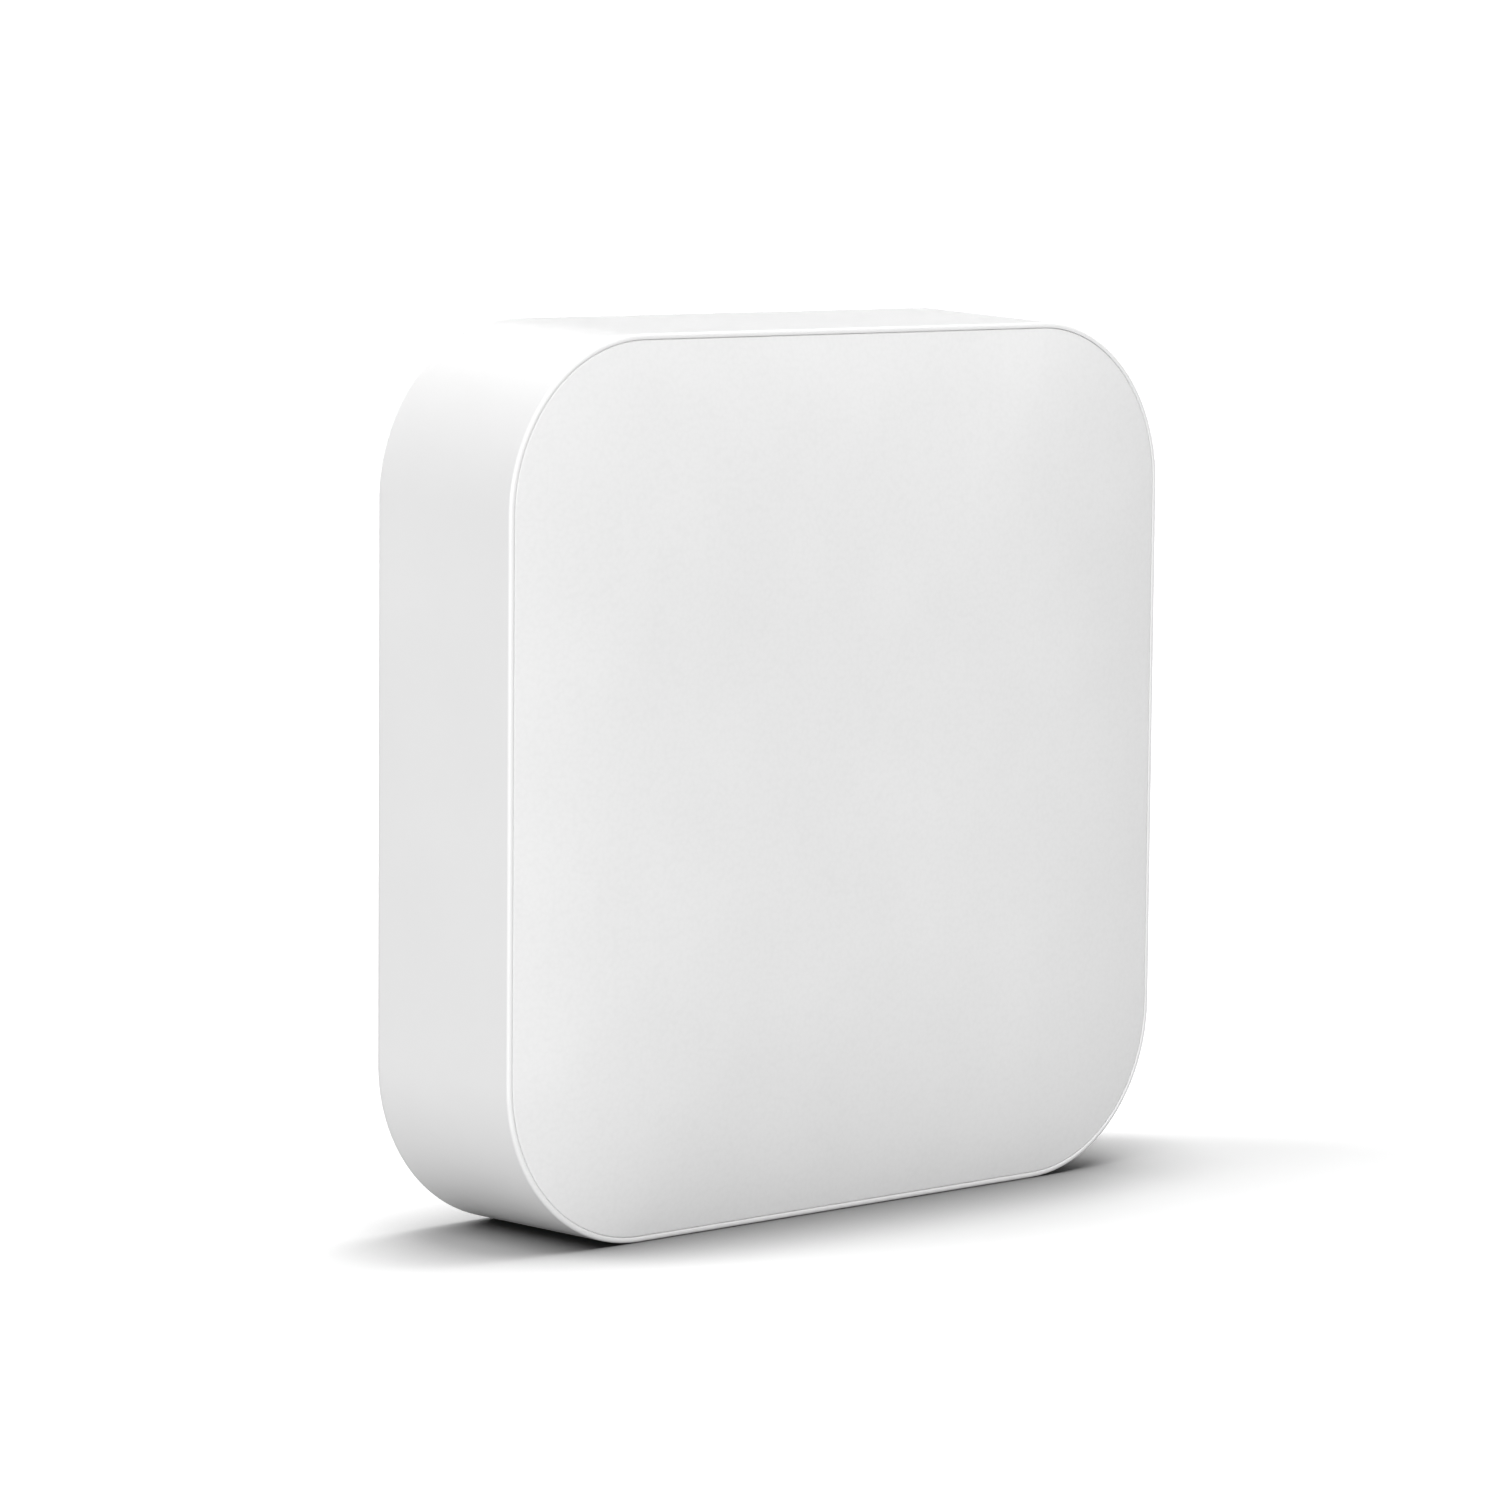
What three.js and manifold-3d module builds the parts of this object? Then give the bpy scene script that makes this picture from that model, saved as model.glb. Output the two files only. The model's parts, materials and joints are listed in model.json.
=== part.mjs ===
// Smart home hub: a rounded square box that stands on its lower edge. The crowned front faces -Y and the
// sockets are on the +X side. Millimetres, +Z up. The origin is below the middle of the hub's box, on the
// surface that it stands on.
import * as THREE from "three";
import { mergeVertices } from "three/addons/utils/BufferGeometryUtils.js";
import Module from "manifold-3d";

const wasm = await Module();
wasm.setup();

// ---- Driving dimensions ----
const FRONT_SIZE = 125.7; // width and height at the front rim
const BACK_SIZE = 127; // width and height at the back edge
const RIM_TO_BACK = 28; // depth of the side walls
const CROWN = 3.4; // how far the front cover bulges past the rim
const FOOT_RISE = 0.6; // how far the rear feet stand out past the back edge
const CORNER_RADIUS = 24.1;
const WALL = 2.2;
const GAP = 0.3; // clearance between neighbouring pieces
const TRAVEL = 0.5; // how far a button moves
const LIP = 0.8; // thickness of the rim round the front cover
const COVER_DEPTH = 2.4; // how far the front cover sinks behind the rim
const LEDGE_THICKNESS = 1.5; // of the shelf that the front cover sits on
const LEDGE_REACH = 1.4; // how far that shelf stands in from the wall
const POST_HEIGHT = 3.5; // room between the rear cover and the board
const BOARD_THICKNESS = 1.6;

// ---- Levels along Y, front to back ----
const RIM_Y = CROWN - (CROWN + RIM_TO_BACK + FOOT_RISE) / 2;
const BACK_Y = RIM_Y + RIM_TO_BACK;
const LEDGE_Y = RIM_Y + COVER_DEPTH;
const LEDGE_BACK_Y = LEDGE_Y + LEDGE_THICKNESS;
const COVER_Y = BACK_Y - GAP; // outer face of the rear cover
const COVER_INNER_Y = COVER_Y - WALL;
const BOARD_BACK_Y = COVER_INNER_Y - POST_HEIGHT;
const BOARD_Y = BOARD_BACK_Y - BOARD_THICKNESS; // component side of the board
const SEAT_Y = BOARD_Y - GAP; // where components start

// ---- Levels along X on the socket side ----
const FLANGE_X = 60.4; // outer face of the port panel's flange, behind the wall
const FLANGE_INNER_X = FLANGE_X - 1.6;
const PANEL_X = 62.3; // outer face of the port panel
const SOCKET_X = PANEL_X - GAP; // mouths of the sockets
const BOARD_EDGE_X = 56;

// ---- Places on the front, back and socket side ----
const MIDDLE_Z = FRONT_SIZE / 2;
const BOSS_INSET = 12.35; // cover screws, in from the front rim's edges
const BOSS_PLACES = fourPlaces(MIDDLE_Z - BOSS_INSET, MIDDLE_Z - BOSS_INSET);
const POST_PLACES = fourPlaces(43, 18);
const FOOT_PLACES = fourPlaces(44, 41);
const KEYHOLE_X = 38; // half of the distance between the two keyholes
const SHANK_RADIUS = 1.1;
const HOLE_RADIUS = SHANK_RADIUS + GAP;
const ETHERNET = { y: 1.05, z: 70, height: 12.9, width: 16 };
const USB = { y: 4.6, z: 51.5, height: 5.8, width: 13.2 };
const POWER = { y: 2.05, z: 36, height: 10.9, width: 9 };
const PAIRING = { y: 4, z: 86, radius: 3.5, faceX: 63 };
const RESET = { y: 4, z: 94.5, radius: 1.2, faceX: 61.7 };
const WINDOW = { y: 1.25, z: 63.5, height: 16.9, width: 71, radius: 4 };

// ---- Finishes ----
const WHITE_SATIN = { color: 0xf3f3f2, roughness: 0.42, metalness: 0 };
const WHITE_GRAIN = { color: 0xf4f4f3, roughness: 0.62, metalness: 0 };
const GREY_PLASTIC = { color: 0xd9dadb, roughness: 0.5, metalness: 0 };
const BLACK_PLASTIC = { color: 0x1b1c1e, roughness: 0.5, metalness: 0 };
const GREY_RUBBER = { color: 0x8d8f92, roughness: 0.85, metalness: 0 };
const LABEL_FILM = { color: 0xdfe0e1, roughness: 0.55, metalness: 0 };
const BOARD_GREEN = { color: 0x14512f, roughness: 0.45, metalness: 0 };
const STEEL = { color: 0xb9bcc0, roughness: 0.35, metalness: 1 };
const ALUMINIUM = { color: 0xc9cbce, roughness: 0.4, metalness: 1 };
const GOLD = { color: 0xd7ab4a, roughness: 0.3, metalness: 1 };
const PAD_BLUE = { color: 0x7f93ad, roughness: 0.9, metalness: 0 };
const CLEAR = { color: 0xeef3f6, roughness: 0.1, metalness: 0 };

// ---- Helpers ----
function fourPlaces(halfX, halfZ) {
  const signs = [[-1, -1], [1, -1], [1, 1], [-1, 1]];
  return signs.map(([x, z]) => ({ x: x * halfX, z: MIDDLE_Z + z * halfZ }));
}

function signedVolume(positions, triangles) {
  const corner = (k) => new THREE.Vector3().fromArray(positions, 3 * triangles[k]);
  let sum = 0;
  for (let k = 0; k < triangles.length; k += 3) {
    sum += corner(k).dot(corner(k + 1).cross(corner(k + 2)));
  }
  return sum / 6;
}

// A closed three.js geometry as a solid that can be joined and cut.
function solidOf(geometry) {
  geometry.deleteAttribute("normal");
  geometry.deleteAttribute("uv");
  const merged = mergeVertices(geometry, 1e-4);
  const positions = merged.attributes.position.array;
  const triangles = [];
  for (let k = 0; k < merged.index.count; k += 3) {
    const [a, b, c] = merged.index.array.slice(k, k + 3);
    if (a !== b && b !== c && c !== a) triangles.push(a, b, c);
  }
  if (signedVolume(positions, triangles) < 0) triangles.reverse();
  const mesh = new wasm.Mesh({
    numProp: 3,
    vertProperties: new Float32Array(positions),
    triVerts: new Uint32Array(triangles),
  });
  return new wasm.Manifold(mesh);
}

function geometryOf(solid) {
  const mesh = solid.getMesh();
  const geometry = new THREE.BufferGeometry();
  geometry.setAttribute("position", new THREE.BufferAttribute(mesh.vertProperties, mesh.numProp));
  geometry.setIndex(new THREE.BufferAttribute(mesh.triVerts, 1));
  return geometry;
}

const joined = (solids) => solids.reduce((all, next) => all.add(next));
const cut = (solid, tools) => tools.reduce((left, tool) => left.subtract(tool), solid);

// A box from its ends along X, Y and Z, as a geometry and as a solid.
function slab([x0, x1], [y0, y1], [z0, z1]) {
  const geometry = new THREE.BoxGeometry(x1 - x0, y1 - y0, z1 - z0);
  return geometry.translate((x0 + x1) / 2, (y0 + y1) / 2, (z0 + z1) / 2);
}

const box = (spanX, spanY, spanZ) => solidOf(slab(spanX, spanY, spanZ));

// A box on the board, standing towards the front.
function chip(x, z, sizeX, sizeZ, height, seat = SEAT_Y) {
  return box([x - sizeX / 2, x + sizeX / 2], [seat - height, seat], [z - sizeZ / 2, z + sizeZ / 2]);
}

// A round rod along Y.
function rodY(x, z, radius, [y0, y1], sides = 20) {
  const geometry = new THREE.CylinderGeometry(radius, radius, y1 - y0, sides);
  return solidOf(geometry.translate(x, (y0 + y1) / 2, z));
}

// A round rod along X.
function rodX(y, z, radius, [x0, x1], sides = 20) {
  const geometry = new THREE.CylinderGeometry(radius, radius, x1 - x0, sides).rotateZ(Math.PI / 2);
  return solidOf(geometry.translate((x0 + x1) / 2, y, z));
}

function roundedRectangle(centreU, centreV, sizeU, sizeV, radius, Kind = THREE.Shape) {
  const [left, right] = [centreU - sizeU / 2, centreU + sizeU / 2];
  const [low, high] = [centreV - sizeV / 2, centreV + sizeV / 2];
  const quarter = Math.PI / 2;
  const path = new Kind();
  path.moveTo(left + radius, low);
  path.lineTo(right - radius, low);
  path.absarc(right - radius, low + radius, radius, -quarter, 0);
  path.lineTo(right, high - radius);
  path.absarc(right - radius, high - radius, radius, 0, quarter);
  path.lineTo(left + radius, high);
  path.absarc(left + radius, high - radius, radius, quarter, 2 * quarter);
  path.lineTo(left, low + radius);
  path.absarc(left + radius, low + radius, radius, 2 * quarter, 3 * quarter);
  return path;
}

// A shape drawn in X and Z, as a plate between two levels of Y.
function plateY(shape, [y0, y1], curveSegments = 3) {
  const geometry = new THREE.ExtrudeGeometry(shape, { depth: y1 - y0, bevelEnabled: false, curveSegments });
  return solidOf(geometry.rotateX(Math.PI / 2).translate(0, y1, 0));
}

// A shape drawn in Y and Z, as a plate between two levels of X.
function plateX(shape, [x0, x1], curveSegments = 3) {
  const geometry = new THREE.ExtrudeGeometry(shape, { depth: x1 - x0, bevelEnabled: false, curveSegments });
  const alongY = new THREE.Vector3(0, 1, 0);
  const alongZ = new THREE.Vector3(0, 0, 1);
  const alongX = new THREE.Vector3(1, 0, 0);
  geometry.applyMatrix4(new THREE.Matrix4().makeBasis(alongY, alongZ, alongX));
  return solidOf(geometry.translate(x0, 0, 0));
}

// ---- The hub's rounded square outline ----
const CORNER_STEPS = 8;

// The walls open out towards the back, and the lower wall stays level.
const sizeAt = (y) => FRONT_SIZE + ((BACK_SIZE - FRONT_SIZE) * (y - RIM_Y)) / RIM_TO_BACK;

// Directions that the outline's points face, corner by corner from the lower right.
const FACINGS = [];
for (let corner = 0; corner < 4; corner += 1) {
  for (let step = 0; step <= CORNER_STEPS; step += 1) {
    const angle = ((corner - 1 + step / CORNER_STEPS) * Math.PI) / 2;
    const middle = ((corner - 0.5) * Math.PI) / 2;
    const side = { right: Math.sign(Math.cos(middle)), up: Math.sign(Math.sin(middle)) };
    FACINGS.push({ x: Math.cos(angle), z: Math.sin(angle), ...side });
  }
}

// One point of the outline of the given size, moved in by inset and then scaled about the hub's middle.
function outlinePoint(facing, size, inset, scale) {
  const half = size / 2 - CORNER_RADIUS;
  const reach = CORNER_RADIUS - inset;
  const x = facing.right * half + facing.x * reach;
  const z = size / 2 + facing.up * half + facing.z * reach;
  return { x: x * scale, z: MIDDLE_Z + (z - MIDDLE_Z) * scale };
}

// A lathe whose rings follow the outline in place of circles. The profile's points are {y, inset, scale}.
function squareLathe(profile, sizeFor) {
  const spokes = profile.map((point) => new THREE.Vector2(point.scale, point.y));
  const geometry = new THREE.LatheGeometry(spokes, FACINGS.length);
  const position = geometry.attributes.position;
  for (let k = 0; k < position.count; k += 1) {
    const { y, inset, scale } = profile[k % profile.length];
    const facing = FACINGS[Math.floor(k / profile.length) % FACINGS.length];
    const place = outlinePoint(facing, sizeFor(y), inset, scale);
    position.setXYZ(k, place.x, y, place.z);
  }
  return solidOf(geometry);
}

// ---- Housing ----
const FRONT_EDGE = 0.5; // rounding of the rim
const BACK_EDGE = 1.5; // rounding of the back edge
const EDGE_STEPS = 3;

function roundedEdge(radius, edgeY, inward) {
  return Array.from({ length: EDGE_STEPS + 1 }, (_, step) => {
    const angle = (step / EDGE_STEPS) * (Math.PI / 2);
    return { y: edgeY + inward * radius * (1 - Math.sin(angle)), inset: radius * (1 - Math.cos(angle)) };
  });
}

function housingRing() {
  const profile = [
    ...roundedEdge(FRONT_EDGE, RIM_Y, 1).reverse(),
    ...roundedEdge(BACK_EDGE, BACK_Y, -1),
    { y: BACK_Y, inset: WALL },
    { y: LEDGE_BACK_Y, inset: WALL },
    { y: LEDGE_BACK_Y, inset: WALL + LEDGE_REACH },
    { y: LEDGE_Y, inset: WALL + LEDGE_REACH },
    { y: LEDGE_Y, inset: LIP },
    { y: RIM_Y, inset: LIP },
  ].map((point) => ({ ...point, scale: 1 }));
  profile.push(profile[0]);
  return squareLathe(profile, sizeAt);
}

// A screw boss and the rib that ties it to the housing's corner.
const BOSS_RADIUS = 4;
const BOSS_RIB = { length: 6, width: 2 };
const PILOT_DEPTH = 10;

function cornerBoss({ x, z }) {
  const span = [LEDGE_Y + 0.5, COVER_INNER_Y - GAP];
  const rib = new THREE.BoxGeometry(BOSS_RIB.length, span[1] - span[0], BOSS_RIB.width);
  const lean = -Math.sign(x) * Math.sign(z - MIDDLE_Z) * (Math.PI / 4);
  rib.rotateY(lean);
  const shift = BOSS_RIB.length / 2 / Math.SQRT2;
  rib.translate(x + Math.sign(x) * shift, (span[0] + span[1]) / 2, z + Math.sign(z - MIDDLE_Z) * shift);
  return rodY(x, z, BOSS_RADIUS, span).add(solidOf(rib));
}

function housing() {
  const { y, z, height, width, radius } = WINDOW;
  const window = plateX(roundedRectangle(y, z, height, width, radius), [FLANGE_X - 4, FLANGE_X + 8]);
  const pilotSpan = [COVER_INNER_Y - PILOT_DEPTH, COVER_Y];
  const pilots = BOSS_PLACES.map((place) => rodY(place.x, place.z, HOLE_RADIUS, pilotSpan, 12));
  return cut(joined([housingRing(), ...BOSS_PLACES.map(cornerBoss)]), [window, ...pilots]);
}

// ---- Front cover ----
const CROWN_POWER = 4; // flat in the middle and steepest at the edge
const FRONT_THICKNESS = 2.2;
const OUTER_SCALES = [0, 0.3, 0.5, 0.66, 0.8, 0.9, 1];
const INNER_SCALES = [0.93, 0.82, 0.66, 0.4, 0];
const SEAT_SCALE = 0.95; // inner edge of the cover's foot

const crownY = (scale) => RIM_Y - CROWN * (1 - scale ** CROWN_POWER);

// A hook that snaps behind the housing's ledge. Its wide side lies along the outline's straight stretch.
const HOOK = { width: 8, stem: 1.2, stemLength: 4.1, reach: 0.9, barb: 1 };
const HOOK_PLACES = [-24, 24]; // along each side that has hooks

function snapHook(angle, along) {
  const inner = MIDDLE_Z - WALL - LEDGE_REACH - GAP;
  const back = LEDGE_BACK_Y + GAP + HOOK.barb;
  const upright = [inner - HOOK.stem, inner];
  const span = [along - HOOK.width / 2, along + HOOK.width / 2];
  const stem = slab(upright, [back - HOOK.stemLength, back], span);
  const barb = slab([upright[0], inner + HOOK.reach], [back - HOOK.barb, back], span);
  const place = (geometry) => solidOf(geometry.rotateY(-angle).translate(0, 0, MIDDLE_Z));
  return place(stem).add(place(barb));
}

function frontCover() {
  const inset = LIP + GAP;
  const seat = LEDGE_Y - GAP;
  const profile = [
    ...OUTER_SCALES.map((scale) => ({ y: crownY(scale), inset, scale })),
    { y: seat, inset, scale: 1 },
    { y: seat, inset, scale: SEAT_SCALE },
    ...INNER_SCALES.map((scale) => ({ y: crownY(scale) + FRONT_THICKNESS, inset, scale })),
  ];
  const hooks = [];
  for (const angle of [Math.PI / 2, Math.PI, -Math.PI / 2]) {
    for (const along of HOOK_PLACES) hooks.push(snapHook(angle, along));
  }
  return joined([squareLathe(profile, () => FRONT_SIZE), ...hooks]);
}

// ---- Rear cover, its feet and its label ----
const COVER_SIZE = sizeAt(COVER_INNER_Y) - 2 * (WALL + GAP);
const COVER_Z = sizeAt(COVER_INNER_Y) / 2;
const SCREW_HEAD_RADIUS = 2.5;
const FOOT_RADIUS = 5;
const FOOT_SEAT_DEPTH = 0.8;
const SCREW_SEAT_DEPTH = 1.5;
const POST_RADIUS = 3;
const LABEL_SIZE = { x: 46, z: 28 };
const LABEL_CORNER = 2;
const LABEL_RECESS = 0.6;
const KEYHOLE = { entry: 4.2, slot: 2.2, rise: 9 };

const VENT = { radius: 1, straight: 18, pitch: 6, fromMiddle: 29 };

// An upright slot with round ends.
function ventSlot(x, z) {
  const path = new THREE.Path();
  path.absarc(x, z + VENT.straight / 2, VENT.radius, 0, Math.PI);
  path.absarc(x, z - VENT.straight / 2, VENT.radius, Math.PI, 2 * Math.PI);
  return path;
}

function ventSlots() {
  const slots = [];
  for (const z of [COVER_Z - VENT.fromMiddle, COVER_Z + VENT.fromMiddle]) {
    for (let k = -4; k <= 4; k += 1) slots.push(ventSlot(k * VENT.pitch, z));
  }
  return slots;
}

// A keyhole for a wall screw: the head goes in at the round end, and the narrow end above it holds it.
function keyhole(x) {
  const { entry, slot, rise } = KEYHOLE;
  const meet = Math.asin(slot / entry);
  const path = new THREE.Path();
  path.absarc(x, COVER_Z, entry, Math.PI / 2 + meet, Math.PI * 2.5 - meet);
  path.absarc(x, COVER_Z + rise, slot, 0, Math.PI);
  return path;
}

function rearCover() {
  const radius = CORNER_RADIUS - WALL - GAP;
  const shape = roundedRectangle(0, COVER_Z, COVER_SIZE, COVER_SIZE, radius);
  shape.holes.push(...ventSlots(), keyhole(-KEYHOLE_X), keyhole(KEYHOLE_X));
  const plate = plateY(shape, [COVER_INNER_Y, COVER_Y]);
  const postSpan = [BOARD_BACK_Y + GAP, COVER_INNER_Y + 1];
  const posts = POST_PLACES.map(({ x, z }) => rodY(x, z, POST_RADIUS, postSpan));
  const pilots = POST_PLACES.map(({ x, z }) => rodY(x, z, HOLE_RADIUS, [BOARD_Y, COVER_INNER_Y + 0.9], 12));
  const through = [COVER_INNER_Y - 1, COVER_Y + 1];
  const holes = BOSS_PLACES.map(({ x, z }) => rodY(x, z, HOLE_RADIUS, through, 12));
  const sunk = (places, seatRadius, depth) =>
    places.map(({ x, z }) => rodY(x, z, seatRadius + GAP, [COVER_Y - depth, COVER_Y + 1]));
  const sinks = sunk(BOSS_PLACES, SCREW_HEAD_RADIUS, SCREW_SEAT_DEPTH);
  const seats = sunk(FOOT_PLACES, FOOT_RADIUS, FOOT_SEAT_DEPTH);
  const labelRoom = [LABEL_SIZE.x + 2 * GAP, LABEL_SIZE.z + 2 * GAP, LABEL_CORNER + GAP];
  const recess = plateY(roundedRectangle(0, COVER_Z, ...labelRoom), [COVER_Y - LABEL_RECESS, COVER_Y + 1]);
  return cut(joined([plate, ...posts]), [...pilots, ...holes, ...sinks, ...seats, recess]);
}

function ratingLabel() {
  const outline = roundedRectangle(0, COVER_Z, LABEL_SIZE.x, LABEL_SIZE.z, LABEL_CORNER);
  return plateY(outline, [COVER_Y - LABEL_RECESS + GAP, COVER_Y - 0.05]);
}

// A round rubber pad with a softened outer edge.
function rearFoot({ x, z }) {
  const [base, top, edge] = [COVER_Y - FOOT_SEAT_DEPTH + GAP, BACK_Y + FOOT_RISE, 0.4];
  const profile = [
    [0, base], [FOOT_RADIUS, base], [FOOT_RADIUS, top - edge],
    [FOOT_RADIUS - 0.3 * edge, top - 0.3 * edge], [FOOT_RADIUS - edge, top], [0, top],
  ].map(([r, y]) => new THREE.Vector2(r, y));
  return solidOf(new THREE.LatheGeometry(profile, 20).translate(x, 0, z));
}

// ---- Screws ----
// A pan-head screw along Y with a cross recess: the head's flat outer face is at headY, and side is +1 when
// the head faces the back.
const RECESS = { depth: 0.6, arm: 1.3, halfWidth: 0.3 };

function screw({ x, z }, headY, headHeight, shankLength, side) {
  const seat = headY - side * headHeight;
  const tip = seat - side * shankLength;
  const span = (a, b) => [Math.min(a, b), Math.max(a, b)];
  const head = rodY(x, z, SCREW_HEAD_RADIUS, span(seat, headY));
  const shank = rodY(x, z, SHANK_RADIUS, span(tip, seat + side * 0.5), 12);
  const depth = span(headY - side * RECESS.depth, headY + side);
  const crossArm = (halfX, halfZ) => box([x - halfX, x + halfX], depth, [z - halfZ, z + halfZ]);
  const arms = [crossArm(RECESS.arm, RECESS.halfWidth), crossArm(RECESS.halfWidth, RECESS.arm)];
  return cut(head.add(shank), arms);
}

const coverScrew = (place) => screw(place, COVER_Y - 0.1, 1.1, 9, 1);
const boardScrew = (place) => screw(place, BOARD_Y - GAP - 1.5, 1.5, 4.5, -1);

// ---- Main board ----
function mainBoard() {
  const [left, right, low, high, corner] = [-54, BOARD_EDGE_X, MIDDLE_Z - 53.5, MIDDLE_Z + 53.5, 18];
  const shape = new THREE.Shape([
    [left + corner, low], [right - corner, low], [right, low + corner], [right, high - corner],
    [right - corner, high], [left + corner, high], [left, high - corner], [left, low + corner],
  ].map(([x, z]) => new THREE.Vector2(x, z)));
  for (const { x, z } of POST_PLACES) {
    shape.holes.push(new THREE.Path().absarc(x, z, HOLE_RADIUS, 0, Math.PI * 2));
  }
  return plateY(shape, [BOARD_Y, BOARD_BACK_Y], 6);
}

// ---- Sockets ----
const halves = (centre, size) => [centre - size / 2, centre + size / 2];

// A five-sided sheet metal box, open towards +X.
function socketShell({ y, z, height, width }, backX, sheet) {
  const inside = [halves(y, height - 2 * sheet), halves(z, width - 2 * sheet)];
  const block = box([backX, SOCKET_X], halves(y, height), halves(z, width));
  return block.subtract(box([backX + sheet, SOCKET_X + 1], ...inside));
}

const ETHERNET_BACK_X = 46;
const ETHERNET_SHEET = 0.5;
const ethernetShell = () => socketShell(ETHERNET, ETHERNET_BACK_X, ETHERNET_SHEET);

// The cavity takes an eight-pin plug: a wide room with a narrower notch for the plug's latch behind it.
const PLUG_ROOM = { y: [-3.8, 4.2], width: 11.9, notchY: [4, 5.8], notchWidth: 6.2, backX: 48.6 };
const NOTCH_SETBACK = 3; // the latch's notch ends this far before the room's back
const LINER = { y: [-4.6, 6.7], width: 14.4, backX: ETHERNET_BACK_X + ETHERNET_SHEET + GAP };

function ethernetInsert() {
  const { z } = ETHERNET;
  const mouth = [PLUG_ROOM.backX, SOCKET_X + 1];
  const block = box([LINER.backX, SOCKET_X - 0.4], LINER.y, halves(z, LINER.width));
  const room = box(mouth, PLUG_ROOM.y, halves(z, PLUG_ROOM.width));
  const notch = box([mouth[0] + NOTCH_SETBACK, mouth[1]], PLUG_ROOM.notchY, halves(z, PLUG_ROOM.notchWidth));
  return cut(block, [room, notch]);
}

// Eight spring fingers that slope forward from one bar.
const CONTACT = { pitch: 1.02, width: 0.45 };

function ethernetContacts() {
  const [backX, frontX] = [PLUG_ROOM.backX + GAP, SOCKET_X - 1.6];
  const low = PLUG_ROOM.y[0] + GAP;
  const fingers = Array.from({ length: 8 }, (_, k) => {
    const z = ETHERNET.z + (k - 3.5) * CONTACT.pitch;
    const side = [[backX, low + 1.9], [frontX, low], [frontX, low + 0.45], [backX, low + 2.5]];
    const shape = new THREE.Shape(side.map(([x, y]) => new THREE.Vector2(x, y)));
    const finger = new THREE.ExtrudeGeometry(shape, { depth: CONTACT.width, bevelEnabled: false });
    return solidOf(finger.translate(0, 0, z - CONTACT.width / 2));
  });
  return joined([box([backX, backX + 0.6], [low, low + 2.5], halves(ETHERNET.z, 8.2)), ...fingers]);
}

const USB_BACK_X = 47.5;
const USB_SHEET = 0.4;
const TONGUE = { y: [USB.y + 0.1, USB.y + 1.9], width: 11.2 };
const TONGUE_BASE = { height: 4.4, width: 11.8, length: 1.8 };
const usbShell = () => socketShell(USB, USB_BACK_X, USB_SHEET);

function usbTongue() {
  const { height, width, length } = TONGUE_BASE;
  const backX = USB_BACK_X + USB_SHEET + GAP;
  const base = box([backX, backX + length], halves(USB.y, height), halves(USB.z, width));
  return base.add(box([backX + length - 0.2, SOCKET_X - 0.9], TONGUE.y, halves(USB.z, TONGUE.width)));
}

const POWER_FACE_X = PANEL_X - 1.2;
const POWER_BORE_RADIUS = 3.2;
const POWER_BORE_BACK_X = 50.5;
const POWER_BACK_X = 47.5;

function dcJack() {
  const { y, z, height, width } = POWER;
  const block = box([POWER_BACK_X, POWER_FACE_X], halves(y, height), halves(z, width));
  return block.subtract(rodX(POWER.y, POWER.z, POWER_BORE_RADIUS, [POWER_BORE_BACK_X, SOCKET_X + 1], 24));
}

function dcPin() {
  const [backX, tipX, radius] = [POWER_BORE_BACK_X + GAP, POWER_FACE_X - 1, 1];
  const profile = [[0, backX], [radius, backX], [radius, tipX - 0.6], [0.5, tipX], [0, tipX]];
  const geometry = new THREE.LatheGeometry(profile.map(([r, x]) => new THREE.Vector2(r, x)), 16);
  return solidOf(geometry.rotateZ(-Math.PI / 2).translate(0, POWER.y, POWER.z));
}

// ---- Port panel ----
function portPanel() {
  const { y, z, height, width, radius } = WINDOW;
  const lap = 1.2; // how far the flange laps over the wall round the window
  const plug = roundedRectangle(y, z, height - 2 * GAP, width - 2 * GAP, radius - GAP);
  const flange = roundedRectangle(y, z, height + 2 * lap, width + 2.5 * lap, radius + lap);
  const through = [FLANGE_INNER_X - 1, PANEL_X + 1];
  const opening = (socket, span) =>
    box(span, halves(socket.y, socket.height + 2 * GAP), halves(socket.z, socket.width + 2 * GAP));
  const buttonHole = (button) => rodX(button.y, button.z, button.radius + GAP, through, 24);
  const blank = plateX(flange, [FLANGE_INNER_X, FLANGE_X]).add(plateX(plug, [FLANGE_X - 0.5, PANEL_X]));
  return cut(blank, [
    opening(ETHERNET, through),
    opening(USB, through),
    opening(POWER, [through[0], POWER_FACE_X + GAP]),
    rodX(POWER.y, POWER.z, POWER_BORE_RADIUS + 0.5, through, 24),
    buttonHole(PAIRING),
    buttonHole(RESET),
  ]);
}

// ---- Buttons and their switches ----
const BUTTON_FLANGE = [FLANGE_INNER_X - GAP - 1.3, FLANGE_INNER_X - GAP];
const SWITCH_X = [52, 55.6];
const PLUNGER_RADIUS = 1.6;

function pushButton({ y, z, radius, faceX }) {
  const rounding = Math.min(0.5, radius / 3);
  const profile = [
    [0, BUTTON_FLANGE[0]], [radius + 1, BUTTON_FLANGE[0]], [radius + 1, BUTTON_FLANGE[1]],
    [radius, BUTTON_FLANGE[1]], [radius, faceX - rounding], [radius - rounding, faceX], [0, faceX],
  ];
  const geometry = new THREE.LatheGeometry(profile.map(([r, x]) => new THREE.Vector2(r, x)), 24);
  return solidOf(geometry.rotateZ(-Math.PI / 2).translate(0, y, z));
}

const PLUNGER_X = [SWITCH_X[1] - 1.6, BUTTON_FLANGE[0] - GAP];

const switchPlunger = ({ y, z }) => rodX(y, z, PLUNGER_RADIUS, PLUNGER_X, 16);

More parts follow.
